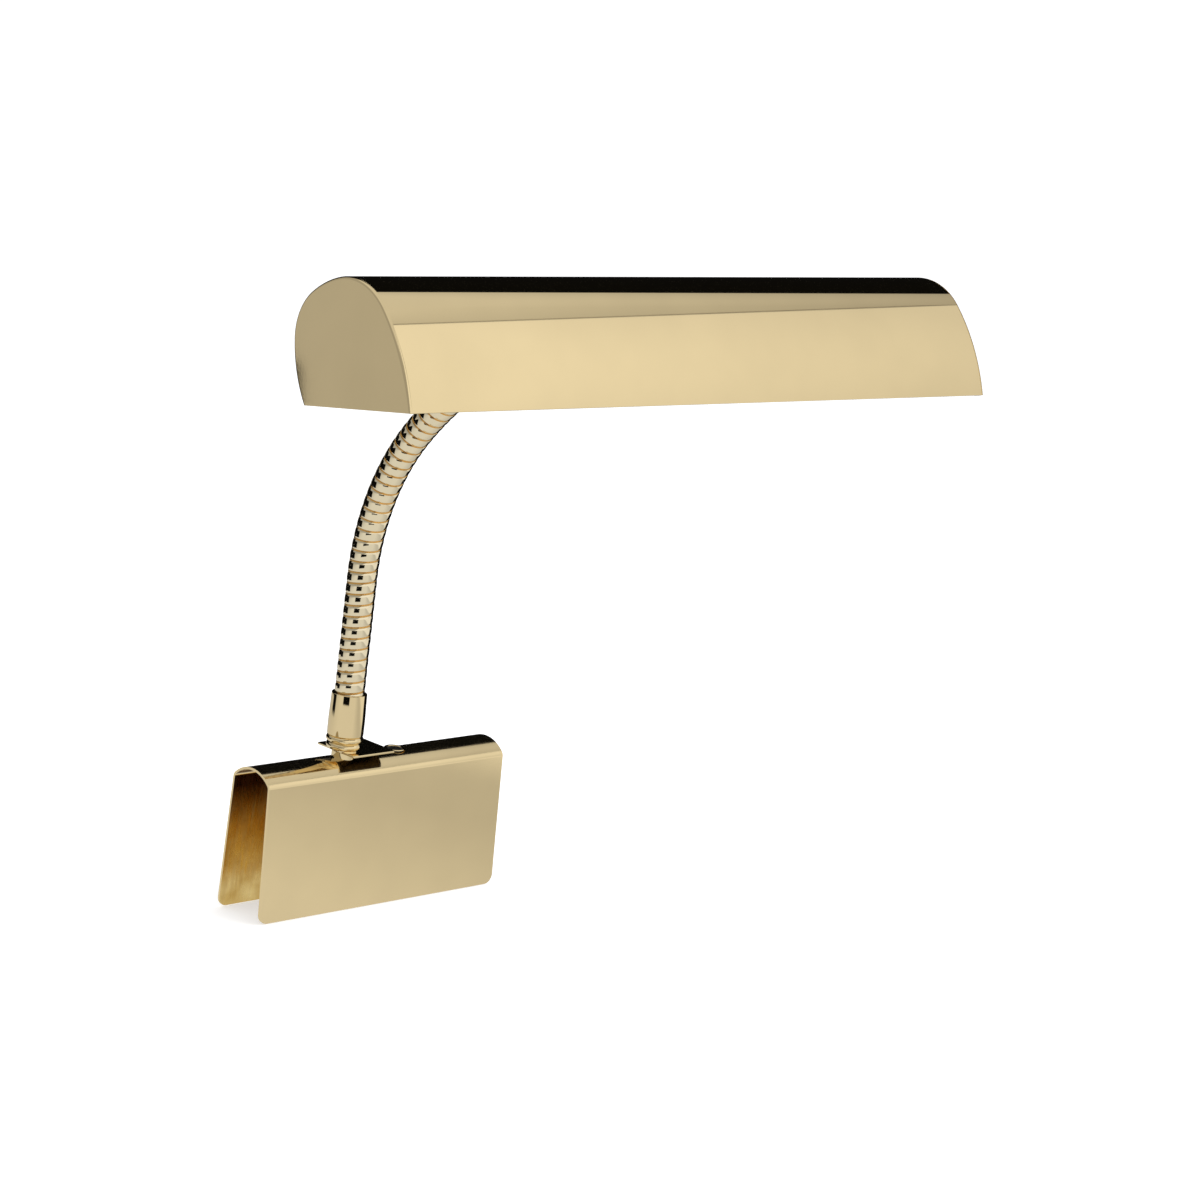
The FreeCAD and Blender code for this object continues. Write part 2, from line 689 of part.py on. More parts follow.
def lead_route(side, rise):
    """A wire's corners from the nipple's end to the back of a socket."""
    arm = BRACKET_HALF_LENGTH - BRACKET_SHEET - 0.1
    return (
        vec(side * 1.5, BRACKET_BACK_Y - 8.0, NECK_ENTRY_HEIGHT + rise),
        vec(side * 2.0, WIRE_CLEAR_Y, LAMP_AXIS_Z + rise),
        vec(side * arm / 2, WIRE_SOCKET_Y, LAMP_AXIS_Z + rise * 2.0),
        vec(side * arm, WIRE_SOCKET_Y, LAMP_AXIS_Z + rise * 2.0),
    )


def make_leads():
    """Four short insulated wires inside the strap, each of straight runs with round elbows."""
    wires = []
    for side in (-1, 1):
        for rise in (-WIRE_SPACING, WIRE_SPACING):
            corners = lead_route(side, rise)
            wire = None
            for start, end in zip(corners[:-1], corners[1:]):
                run = Part.makeCylinder(WIRE_RADIUS, (end - start).Length, start, end - start)
                wire = run if wire is None else wire.fuse(run)
            for corner in corners[1:-1]:
                wire = wire.fuse(Part.makeSphere(WIRE_RADIUS, corner))
            wires.append(wire)
    return Part.makeCompound(wires)


def build_base():
    axis_start = vec(-THROUGH / 2, 0, SHEET - CROWN_RADIUS)
    crown_inside = Part.makeCylinder(CROWN_RADIUS - SHEET, THROUGH, axis_start, X_AXIS)
    save("clip", make_clip())
    save("cord_bushing", make_cord_bushing())
    save("crown_spacer", make_spacer())
    save("foot_plate", make_plate())
    save("neck_ferrule", make_ferrule())
    save("ferrule_set_screw", make_set_screw())
    nut_top = WASHER_TOP - WASHER_THICKNESS
    washer = tube(WASHER_RADIUS, NIPPLE_RADIUS, -nut_top, vec(0, 0, nut_top), Z_AXIS)
    save("seat_washer", washer.common(crown_inside))
    nut = hexagon(NUT_FLATS, NUT_HEIGHT, vec(0, 0, nut_top - NUT_HEIGHT), Z_AXIS, NIPPLE_RADIUS)
    save("clip_nut", nut)
    nipple_low = nut_top - NUT_HEIGHT - NIPPLE_PROUD
    nipple_length = PLATE_TOP + FERRULE_SEAT - nipple_low
    save("clip_nipple", threaded_tube(nipple_length, vec(0, 0, nipple_low), Z_AXIS))


def build_neck():
    for segment in range(SEGMENTS):
        name = str(segment + 1)
        first = segment * TURNS_PER_SEGMENT
        save("coil_turns_" + name, make_turns(first, first + TURNS_PER_SEGMENT))
        save("inner_spring_" + name, make_spring(first, first + TURNS_PER_SEGMENT))
    all_turns = SEGMENTS * TURNS_PER_SEGMENT
    save("coil_end_lower", make_turns(-END_TURNS_BELOW, 0))
    save("coil_end_upper", make_turns(all_turns, all_turns + END_TURNS_ABOVE))


def build_head():
    nut_face = BRACKET_BACK_Y - BRACKET_SHEET
    room = extruded(closed_face(section_chain(SHADE_SHEET)), -20, 40)
    save("shade_shell", in_shade(make_shade_shell()))
    save("end_cap_right", in_shade(make_end_cap(1)))
    save("end_cap_left", in_shade(make_end_cap(-1)))
    save("neck_collar", in_shade(make_collar()))
    nipple_low = nut_face - WASHER_THICKNESS - NUT_HEIGHT - THREAD_CHAMFER
    nipple_length = SHADE_WIDTH / 2 + COLLAR_FLOOR - nipple_low
    nipple = threaded_tube(nipple_length, vec(0, nipple_low, NECK_ENTRY_HEIGHT), Y_AXIS)
    save("shade_nipple", in_shade(nipple))
    entry = vec(0, BRACKET_BACK_Y, NECK_ENTRY_HEIGHT)
    spacer = tube(SPACER_RING_RADIUS, NIPPLE_RADIUS, SHADE_WIDTH / 2 - BRACKET_BACK_Y, entry, Y_AXIS)
    save("bracket_spacer", in_shade(spacer.common(room)))
    entry = vec(0, nut_face - WASHER_THICKNESS, NECK_ENTRY_HEIGHT)
    save("lock_washer", in_shade(tube(WASHER_RADIUS, NIPPLE_RADIUS, WASHER_THICKNESS, entry, Y_AXIS)))
    entry = vec(0, nut_face - WASHER_THICKNESS - NUT_HEIGHT, NECK_ENTRY_HEIGHT)
    save("shade_nut", in_shade(hexagon(NUT_FLATS, NUT_HEIGHT, entry, Y_AXIS, NIPPLE_RADIUS)))
    save("socket_bracket", in_shade(make_bracket()))
    makers = (
        ("socket_body", make_socket_body),
        ("screw_shell", make_screw_shell),
        ("socket_contact", make_socket_contact),
        ("lamp_base", make_lamp_base),
        ("lamp_contact", make_lamp_contact),
        ("lamp_glass", make_lamp_glass),
        ("lamp_filament", make_filament),
    )
    for name, maker in makers:
        right, left = mirrored_pair(maker)
        save(name + "_right", in_shade(right))
        save(name + "_left", in_shade(left))
    save("socket_screws", in_shade(Part.makeCompound(list(mirrored_pair(make_socket_screw)))))
    save("lead_wires", in_shade(make_leads()))


build_base()
build_neck()
build_head()
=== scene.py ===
"""Looks of the clip-on piano lamp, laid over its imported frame."""

import math

import bmesh
import bpy
from mathutils import Matrix, Vector


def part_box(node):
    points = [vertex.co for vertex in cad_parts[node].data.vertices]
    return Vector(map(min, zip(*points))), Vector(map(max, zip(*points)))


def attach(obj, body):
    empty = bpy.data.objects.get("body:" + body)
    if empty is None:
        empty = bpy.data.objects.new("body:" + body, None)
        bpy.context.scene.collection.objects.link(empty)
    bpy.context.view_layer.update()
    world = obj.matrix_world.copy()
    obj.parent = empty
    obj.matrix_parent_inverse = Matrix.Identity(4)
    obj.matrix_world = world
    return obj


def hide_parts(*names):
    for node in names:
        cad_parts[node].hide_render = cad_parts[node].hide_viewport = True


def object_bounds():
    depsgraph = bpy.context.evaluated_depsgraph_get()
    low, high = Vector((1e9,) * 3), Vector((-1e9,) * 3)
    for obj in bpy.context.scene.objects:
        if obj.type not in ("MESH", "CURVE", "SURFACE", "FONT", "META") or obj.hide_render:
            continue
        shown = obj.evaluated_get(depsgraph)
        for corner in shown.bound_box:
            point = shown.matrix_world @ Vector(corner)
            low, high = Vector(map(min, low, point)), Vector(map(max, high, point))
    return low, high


bl_info = {
    "name": "Piano Lamp Looks",
    "version": (1, 0, 0),
    "blender": (4, 5, 0),
    "location": "View3D > Sidebar > Piano Lamp",
    "description": "Brass shade, clip, gooseneck and lamps of a clip-on piano lamp",
    "category": "Add Mesh",
}

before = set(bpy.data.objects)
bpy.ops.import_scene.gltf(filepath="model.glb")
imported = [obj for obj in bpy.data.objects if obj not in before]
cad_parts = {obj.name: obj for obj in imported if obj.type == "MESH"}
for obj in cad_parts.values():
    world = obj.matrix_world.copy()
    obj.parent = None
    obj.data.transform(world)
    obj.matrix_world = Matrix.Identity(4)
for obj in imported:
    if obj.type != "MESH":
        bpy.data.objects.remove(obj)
CAD_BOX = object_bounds()
MM = 0.001
SOFT_EDGE_DEG = 40.0
SHARP_EDGE_DEG = 32.0
TINY = 1e-6
MERGE_MM = 1e-4

# Lengths are in mm, and angles in degrees, unless a name or comment says otherwise

# Shade's section: tangent arcs from the front edge over the crown, as (radius, turn);
# the caps' lips as (play to the sheet, inner offset, depth)
SECTION_START_DEG = 82.5
SECTION_ARCS = ((95.8, 27.6), (30.6, 61.7), (50.9, 22.1), (23.8, 58.3), (55.8, 30.1))
SHADE_DEPTH = 76.2
SHADE_TILT_DEG = -9.9
CAP_THICKNESS = 1.3
NECK_ENTRY_HEIGHT = 26.0
NECK_ENTRY_GAP = 2.0
CAP_LIP = (0.02, 0.7, 4.0)
RIM_START = 0.9
SIDE_NAMES = {-1: "left", 1: "right"}
CUP_FLANGE_RADIUS = 10.6
CUP_SEAT = 4.0

# Clip's section: crown arc, shoulder arc and straight leg
CLIP_HEIGHT = 75.8
CROWN_TOP_MM = 1.2
CROWN_RADIUS = 17.85
CROWN_HALF_ANGLE = 45.0
SHOULDER_RADIUS = 3.7
LEG_SPLAY = 2.1
CORD_HOLE_X = 35.2
CORD_HOLE_RADIUS = 4.5
CORD_BORE_RADIUS = 3.2
NIPPLE_RADIUS = 4.85
# Inner faces below this height take the inner brass: real scratches, plus painted bounce light and
# painted shade
INNER_WEAR_AND_PAINTED_LIGHT_BELOW = -6.0
BUSHING_FOOT = -2.4
EYELET_RIM = 0.9
EYELET_ROLL = 0.35

# Foot: plate, beads and barrel
PLATE_TOP = 5.0
PLATE_CORNER = 1.0
FERRULE_FOOT = 0.6
FERRULE_SEAT = 7.6
FERRULE_TOP = 34.0
FOOT_RADIUS = 7.5
BEAD_RADIUS = 1.9
BARREL_RADIUS = 9.2
MOUTH_RADIUS = 8.9

# Gooseneck's line: upright run and two bends in one plane
NECK_RUN = 92.1
BEND_LOW = (123.0, 40.0)
BEND_HIGH = (200.0, 40.1)
NECK_TWIST_DEG = -3.0
SEGMENTS = 8
TURNS_PER_SEGMENT = 6
COLLAR_LENGTH = 14.0
COIL_RADIUS = 7.6
TURNS_IN_FERRULE = 3
RIBBON_HALF = 2.42
RIBBON_INNER = 5.9
RIBBON_FALL = 0.3
WIRE_RADIUS = 0.24
WIRE_SEAT = 7.2
WIRE_SPREAD = 0.2

# Lamps
LAMP_AXIS_Y = 4.0
LAMP_AXIS_Z = 27.0
LAMP_CAP_START = 22.6
LAMP_CAP_LENGTH = 25.0
LAMP_CAP_RADIUS = 13.2
LAMP_GLASS_RADIUS = 16.0
LAMP_TIP_X = 163.0
GLASS_WALL = 0.9
GLASS_SHOULDER = 11.0
THREAD_TURNS = 5
THREAD_PITCH = 3.3
THREAD_HALF_DEPTH = 0.45
FILAMENT_TURNS = 60
FILAMENT_WIRE = 0.14
FILAMENT_RADIUS = 0.8
FILAMENT_RISE = 6.0

# The photograph's camera, in the clip's frame
CAMERA_AZIMUTH_DEG = -47.2
CAMERA_ELEVATION_DEG = 12.5
CAMERA_ROLL_DEG = 7.1
CAMERA_DEPTH_M = 1.7513
PHOTO_SIZE_PX = 1200.0
FOCAL_PX = 3500.0
FOOT_PIXEL = (342.7, 755.4)

# Studio: how bright each part of it shows in the metal. The wall ends at the seam, and above
# the seam is the ceiling; each line joins two directions and has a third on its far side
WALL_LINE = ((39.3, 16.6), (64.6, 46.0), (58.2, 30.5))
SEAM_LINE = ((64.6, 46.0), (77.8, 40.4), (90, 50))
REAR_LINE = ((113, 45), (100, 39), (136, 15))
WALL_LEVELS = (0.95, 0.76)
CEILING_LEVELS = (0.40, 0.70)
SEAM_SHADE = 0.42
FLAG_LEVEL = 0.004
# Dark cards: direction, half-width (degrees), distance, where the dark floor starts, top (m)
FLAGS = (
    (-57, 20, 0.9, 0.5, 0.05),
    (-143, 14, 0.6, 0.4, 0.12),
    (108, 35, 0.9, 0.25, 0.3),
    (183, 22, 0.9, 0.5, 0.4),
)
# Floor, its size and gap in metres
FLOOR_LEVEL = 0.76
FLOOR_WHITENING = 0.4
FLOOR_SIZE = 30.0
FLOOR_GAP = 0.0005
FLOOR_COLOUR = (0.9, 0.9, 0.9)
WHITE = (1.0, 1.0, 1.0, 1.0)
# Soft boxes: azimuth, elevation, distance (m), size (m) and power (W)
LIGHTS = {
    "softbox_front_right": (40, 45, 2.2, (1.6, 1.2), 22.0),
    "softbox_left": (-80, 35, 2.2, (1.2, 1.2), 10.0),
}
SENSOR_MM = 36.0

# Scales of the noises in the finishes, per metre, and depth of their bumps in metres
CLOUD_SCALE = 28.0
BLOTCH_SCALE = 70.0
HAZE_SCALE = 90.0
GRAIN_SCALE = 400.0
SCRATCH_SCALE = 500.0
SKIN_SCALE = 700.0
MARKS_SCALE = 900.0
SPECK_SCALE = 1500.0
BUMP_DEPTH = 0.0002
SCRATCH_DEPTH = 0.0003


def neck_length():
    low = math.radians(BEND_LOW[1]) * BEND_LOW[0]
    return NECK_RUN + low + math.radians(BEND_HIGH[1]) * BEND_HIGH[0]


def neck_point(distance):
    """Forward, up (mm) and lean from the vertical (radians) at a distance along the neck."""
    end = neck_length()
    if distance > end:
        forward, up, lean = neck_point(end)
        beyond = distance - end
        return forward + beyond * math.sin(lean), up + beyond * math.cos(lean), lean
    if distance <= NECK_RUN:
        return 0.0, distance, 0.0
    low_radius, low_turn = BEND_LOW[0], math.radians(BEND_LOW[1])
    rest = distance - NECK_RUN
    lean = min(rest / low_radius, low_turn)
    forward = low_radius * (1 - math.cos(lean))
    up = NECK_RUN + low_radius * math.sin(lean)
    rest -= low_radius * low_turn
    if rest > 0:
        high_radius = BEND_HIGH[0]
        lean = low_turn + rest / high_radius
        forward += high_radius * (math.cos(low_turn) - math.cos(lean))
        up += high_radius * (math.sin(lean) - math.sin(low_turn))
    return forward, up, lean


TWIST = Matrix.Rotation(math.radians(NECK_TWIST_DEG), 4, "Z")
COIL_START = FERRULE_TOP
COIL_END = neck_length() - COLLAR_LENGTH + NECK_ENTRY_GAP
COIL_PITCH = (COIL_END - COIL_START) / (SEGMENTS * TURNS_PER_SEGMENT)


def shade_matrix():
    """From the shade's own frame (mm) to the row's frame (mm)."""
    forward, up, _ = neck_point(neck_length())
    tilt = Matrix.Rotation(math.radians(SHADE_TILT_DEG), 4, "X")
    entry = tilt @ Vector((0, SHADE_DEPTH / 2 + NECK_ENTRY_GAP, NECK_ENTRY_HEIGHT))
    base = Vector((0, -forward, up)) - entry
    return TWIST @ Matrix.Translation(base) @ tilt


SHADE = shade_matrix()


def arc_points(start, heading_deg, arcs, offset=0.0, step_deg=1.2):
    """Points on tangent arcs that turn clockwise in the plane of (across, up)."""
    across, up = start
    angle = math.radians(heading_deg)
    points = []
    for radius, turn in arcs:
        centre = (across + radius * math.sin(angle), up - radius * math.cos(angle))
        count = max(2, round(turn / step_deg))
        run = radius - offset
        for index in range(count + 1):
            here = angle - math.radians(turn) * index / count
            point = (centre[0] - run * math.sin(here), centre[1] + run * math.cos(here))
            if not points or math.dist(points[-1], point) > TINY:
                points.append(point)
        angle -= math.radians(turn)
        across = centre[0] - radius * math.sin(angle)
        up = centre[1] + radius * math.cos(angle)
    return points


# Making and finishing meshes


def finish_mesh(bm, name, material, matrix=None, sharp_deg=SHARP_EDGE_DEG):
    """Turn a bmesh in millimetres into an object in metres, smooth but for its sharp edges."""
    if matrix is not None:
        bmesh.ops.transform(bm, matrix=matrix, verts=bm.verts)
    bmesh.ops.scale(bm, vec=(MM, MM, MM), verts=bm.verts)
    bmesh.ops.recalc_face_normals(bm, faces=bm.faces)
    limit = math.radians(sharp_deg)
    for face in bm.faces:
        face.smooth = True
    for edge in bm.edges:
        if len(edge.link_faces) == 2 and edge.calc_face_angle(0.0) > limit:
            edge.smooth = False
    mesh = bpy.data.meshes.new(name)
    bm.to_mesh(mesh)
    bm.free()
    mesh.materials.append(material)
    piece = bpy.data.objects.new(name, mesh)
    bpy.context.scene.collection.objects.link(piece)
    return piece


def extruded_outline(points, low, high):
    """Closed outline of (y, z) points extruded along X."""
    bm = bmesh.new()
    face = bm.faces.new([bm.verts.new((low, across, up)) for across, up in points])
    moved = bmesh.ops.extrude_face_region(bm, geom=[face])["geom"]
    tops = [item for item in moved if isinstance(item, bmesh.types.BMVert)]
    bmesh.ops.translate(bm, vec=(high - low, 0, 0), verts=tops)
    bmesh.ops.recalc_face_normals(bm, faces=bm.faces)
    return bm


def bevel_edges(bm, edges, offset, segments):
    bmesh.ops.bevel(
        bm, geom=edges, offset=offset, offset_type="OFFSET", segments=segments,
        profile=0.5, affect="EDGES", material=-1, clamp_overlap=True,
    )


def spun(profile, steps=96):
    """Full turn of an outline of (height, radius) points round Z; it may touch the axis."""
    bm = bmesh.new()
    verts = [bm.verts.new((radius, 0, height)) for height, radius in profile]
    edges = [bm.edges.new(pair) for pair in zip(verts, verts[1:])]
    closed = profile[0][1] > TINY and profile[-1][1] > TINY
    if closed:
        edges.append(bm.edges.new((verts[-1], verts[0])))
    bmesh.ops.spin(
        bm, geom=verts + edges, cent=(0, 0, 0), axis=(0, 0, 1), angle=math.tau,
        steps=steps, use_merge=True, use_normal_flip=False,
    )
    bmesh.ops.remove_doubles(bm, verts=bm.verts, dist=MERGE_MM)
    return bm


def rounded(centre, radius, start_deg, end_deg, steps=8):
    """Points (height, radius) on an arc of a turned profile."""
    points = []
    for index in range(steps + 1):
        angle = math.radians(start_deg + (end_deg - start_deg) * index / steps)
        points.append((centre[0] + radius * math.sin(angle), centre[1] + radius * math.cos(angle)))
    return points


def soften(piece, width, segments=2):
    """Small bevel on a piece's sharp edges."""
    bevel = piece.modifiers.new("edge_round", "BEVEL")
    bevel.width = width * MM
    bevel.segments = segments
    bevel.limit_method = "ANGLE"
    bevel.angle_limit = math.radians(SOFT_EDGE_DEG)


# Materials


def node_material(name, metallic, base, roughness):
    material = bpy.data.materials.new(name)
    material.use_nodes = True
    shader = material.node_tree.nodes["Principled BSDF"]
    shader.inputs["Base Color"].default_value = (*base, 1.0)
    shader.inputs["Metallic"].default_value = metallic
    shader.inputs["Roughness"].default_value = roughness
    return material, material.node_tree, shader


def object_noise(tree, scale, detail=3.0, stretch=None):
    """Noise in the piece's own coordinates, in metres."""
    nodes, links = tree.nodes, tree.links
    coords = nodes.new("ShaderNodeTexCoord")
    mapping = nodes.new("ShaderNodeMapping")
    if stretch:
        mapping.inputs["Scale"].default_value = stretch
    noise = nodes.new("ShaderNodeTexNoise")
    noise.inputs["Scale"].default_value = scale
    noise.inputs["Detail"].default_value = detail
    links.new(coords.outputs["Object"], mapping.inputs["Vector"])
    links.new(mapping.outputs["Vector"], noise.inputs["Vector"])
    return noise


def tinted(tree, shader, source, low, high, start=0.35, end=0.65, darkening=None):
    """Colour from low to high driven by a noise, on the shader or on a node that darkens it."""
    node = tree.nodes.new("ShaderNodeValToRGB")
    node.color_ramp.elements[0].position = start
    node.color_ramp.elements[1].position = end
    node.color_ramp.elements[0].color = (*low, 1.0)
    node.color_ramp.elements[1].color = (*high, 1.0)
    tree.links.new(source.outputs["Fac"], node.inputs["Fac"])
    target = darkening.inputs["B"] if darkening else shader.inputs["Base Color"]
    tree.links.new(node.outputs["Color"], target)


def worn(tree, shader, source, low, high):
    """Roughness that a noise spreads between two values."""
    node = tree.nodes.new("ShaderNodeMapRange")
    node.inputs["From Min"].default_value = 0.3
    node.inputs["From Max"].default_value = 0.7
    node.inputs["To Min"].default_value = low
    node.inputs["To Max"].default_value = high
    tree.links.new(source.outputs["Fac"], node.inputs["Value"])
    tree.links.new(node.outputs["Result"], shader.inputs["Roughness"])


def bump(tree, shader, source, strength, depth=BUMP_DEPTH):
    node = tree.nodes.new("ShaderNodeBump")
    node.inputs["Strength"].default_value = strength
    node.inputs["Distance"].default_value = depth
    tree.links.new(source.outputs["Fac"], node.inputs["Height"])
    tree.links.new(node.outputs["Normal"], shader.inputs["Normal"])


def polished_brass(name, base, roughness, grain=0.0):
    """Lacquered brass: faint cloudiness in its colour, fine polishing marks, optional grain."""
    material, tree, shader = node_material(name, 1.0, base, roughness)
    darker = tuple(value * 0.965 for value in base)
    tinted(tree, shader, object_noise(tree, CLOUD_SCALE, 2.0), darker, base)
    marks = object_noise(tree, MARKS_SCALE, 4.0, (0.04, 1.0, 1.0))
    worn(tree, shader, marks, roughness * 0.8, roughness * 1.25)
    if grain:
        bump(tree, shader, object_noise(tree, SPECK_SCALE, 6.0), grain)
    return material


def inner_brass_painted_light():
    """Inside of the clip: a deeper amber than the outer brass, painted in for the gold of light bounced
    between the legs, with blotches and scratches of wear, and painted shade that darkens it under the
    crown.
    """
    material, tree, shader = node_material("clip_inner_brass", 1.0, (0.75, 0.5, 0.16), 0.3)
    coords = tree.nodes.new("ShaderNodeTexCoord")
    parts = tree.nodes.new("ShaderNodeSeparateXYZ")
    tree.links.new(coords.outputs["Object"], parts.inputs[0])
    # Painted shade: near-black brown where the legs meet the crown, fading out further down the legs
    painted_shade = tree.nodes.new("ShaderNodeMix")
    painted_shade.data_type = "RGBA"
    painted_shade.inputs["A"].default_value = (0.10, 0.05, 0.03, 1.0)
    height = graded(tree, parts.outputs["Z"], -0.012, -0.034, 0.0, 1.0)
    tree.links.new(height, painted_shade.inputs["Factor"])
    blotch = object_noise(tree, BLOTCH_SCALE, 6.0)
    tinted(tree, shader, blotch, (0.60, 0.38, 0.10), (0.86, 0.66, 0.28), 0.3, 0.7, painted_shade)
    tree.links.new(painted_shade.outputs["Result"], shader.inputs["Base Color"])
    scratch = object_noise(tree, SCRATCH_SCALE, 8.0, (1.0, 1.0, 0.12))
    worn(tree, shader, scratch, 0.16, 0.4)
    bump(tree, shader, scratch, 0.25, SCRATCH_DEPTH)
    return material


def plain_metal(name, base, roughness):
    material, tree, shader = node_material(name, 1.0, base, roughness)
    grain = object_noise(tree, GRAIN_SCALE, 4.0)
    worn(tree, shader, grain, roughness * 0.75, roughness * 1.3)
    bump(tree, shader, grain, 0.06)
    return material


def moulded(name, base, roughness):
    """Moulded plastic or phenolic with a fine skin."""
    material, tree, shader = node_material(name, 0.0, base, roughness)
    skin = object_noise(tree, SKIN_SCALE, 5.0)
    tinted(tree, shader, skin, base, tuple(min(1.0, value * 1.25 + 0.005) for value in base))
    worn(tree, shader, skin, roughness * 0.85, roughness * 1.15)
    bump(tree, shader, skin, 0.08)
    return material


def lamp_glass_material():
    material, tree, shader = node_material("lamp_clear_glass", 0.0, (1.0, 1.0, 1.0), 0.03)
    shader.inputs["Transmission Weight"].default_value = 1.0
    shader.inputs["IOR"].default_value = 1.46
    worn(tree, shader, object_noise(tree, HAZE_SCALE, 3.0), 0.02, 0.05)
    return material


def flag_material():
    """Card so dark that the metal mirrors it black."""
    material, _, shader = node_material("dark_flag", 0.0, (FLAG_LEVEL,) * 3, 1.0)
    shader.inputs["Specular IOR Level"].default_value = 0.0
    return material


def ray_kind(tree, *kinds):
    """1 for the named kinds of ray, 0 for the rest."""
    path = tree.nodes.new("ShaderNodeLightPath")
    total = path.outputs[kinds[0]]
    for kind in kinds[1:]:
        larger = tree.nodes.new("ShaderNodeMath")
        larger.operation = "MAXIMUM"
        tree.links.new(total, larger.inputs[0])
        tree.links.new(path.outputs[kind], larger.inputs[1])
        total = larger.outputs[0]
    return total


def by_ray(tree, plain, seen, mirrored):
    """One shader for soft light, another where it is seen, and a third where it is mirrored."""
    result = plain
    choices = ((("Is Camera Ray", "Is Transmission Ray"), seen), (("Is Glossy Ray",), mirrored))
    for kinds, shader in choices:
        mix = tree.nodes.new("ShaderNodeMixShader")
        tree.links.new(ray_kind(tree, *kinds), mix.inputs["Fac"])
        tree.links.new(result, mix.inputs[1])
        tree.links.new(shader, mix.inputs[2])
        result = mix.outputs[0]
    return result


def graded(tree, value, start, end, low, high):
    """Map a socket from one range to another, held at the ends."""
    node = tree.nodes.new("ShaderNodeMapRange")
    node.inputs["From Min"].default_value = start
    node.inputs["From Max"].default_value = end
    node.inputs["To Min"].default_value = low
    node.inputs["To Max"].default_value = high
    tree.links.new(value, node.inputs["Value"])
    return node.outputs["Result"]


def times(tree, first, second):
    node = tree.nodes.new("ShaderNodeMath")
    node.operation = "MULTIPLY"
    tree.links.new(first, node.inputs[0])
    tree.links.new(second, node.inputs[1])
    return node.outputs[0]


def in_sector(tree, coords, azimuth_deg, half_width_deg, start, end):
    """1 on the floor within a sector of directions, between two distances from the lamp's foot."""
    def vector_node(operation, source):
        node = tree.nodes.new("ShaderNodeVectorMath")
        node.operation = operation
        tree.links.new(source, node.inputs[0])
        return node

    flat = vector_node("MULTIPLY", coords.outputs["Object"])
    flat.inputs[1].default_value = (1.0, 1.0, 0.0)
    reach = vector_node("LENGTH", flat.outputs[0]).outputs["Value"]
    unit = vector_node("NORMALIZE", flat.outputs[0])
    facing = vector_node("DOT_PRODUCT", unit.outputs[0])
    facing.inputs[1].default_value = direction(azimuth_deg, 0.0)
    edge = math.cos(math.radians(half_width_deg))
    inside = graded(tree, facing.outputs["Value"], edge - 0.01, edge + 0.01, 0.0, 1.0)
    past_start = graded(tree, reach, start, start + 0.03, 0.0, 1.0)
    before_end = graded(tree, reach, end, end + 0.03, 1.0, 0.0)
    return times(tree, inside, times(tree, past_start, before_end))


def floor_material():
    """Pale floor, whitened where it is seen and graded, with dark sectors, where it is mirrored."""
    material = bpy.data.materials.new("pale_floor")
    material.use_nodes = True
    tree = material.node_tree
    shader = tree.nodes["Principled BSDF"]
    shader.inputs["Base Color"].default_value = (*FLOOR_COLOUR, 1.0)
    shader.inputs["Roughness"].default_value = 0.9
    shader.inputs["Specular IOR Level"].default_value = 0.0
    coords = tree.nodes.new("ShaderNodeTexCoord")
    parts = tree.nodes.new("ShaderNodeSeparateXYZ")
    tree.links.new(coords.outputs["Object"], parts.inputs[0])
    rightward = graded(tree, parts.outputs["X"], 0.0, 0.2, FLOOR_LEVEL, FLOOR_LEVEL * 0.77)
    backward = graded(tree, parts.outputs["Y"], 0.05, 0.7, 1.0, 0.66)
    beyond = graded(tree, parts.outputs["X"], 0.28, 0.36, 1.0, 1.5)
    level = times(tree, times(tree, rightward, backward), beyond)
    for azimuth, half_width, distance, start, _ in FLAGS:
        in_flag = in_sector(tree, coords, azimuth, half_width, start, distance)
        level = blended(tree, in_flag, level, FLAG_LEVEL)
    mirrored = tree.nodes.new("ShaderNodeEmission")
    tree.links.new(level, mirrored.inputs["Strength"])
    whitening = tree.nodes.new("ShaderNodeEmission")
    whitening.inputs["Strength"].default_value = FLOOR_WHITENING
    lit = tree.nodes.new("ShaderNodeAddShader")
    tree.links.new(shader.outputs[0], lit.inputs[0])
    tree.links.new(whitening.outputs[0], lit.inputs[1])
    surface = by_ray(tree, shader.outputs[0], lit.outputs[0], mirrored.outputs[0])
    tree.links.new(surface, tree.nodes["Material Output"].inputs["Surface"])
    return material


MATERIALS = {}


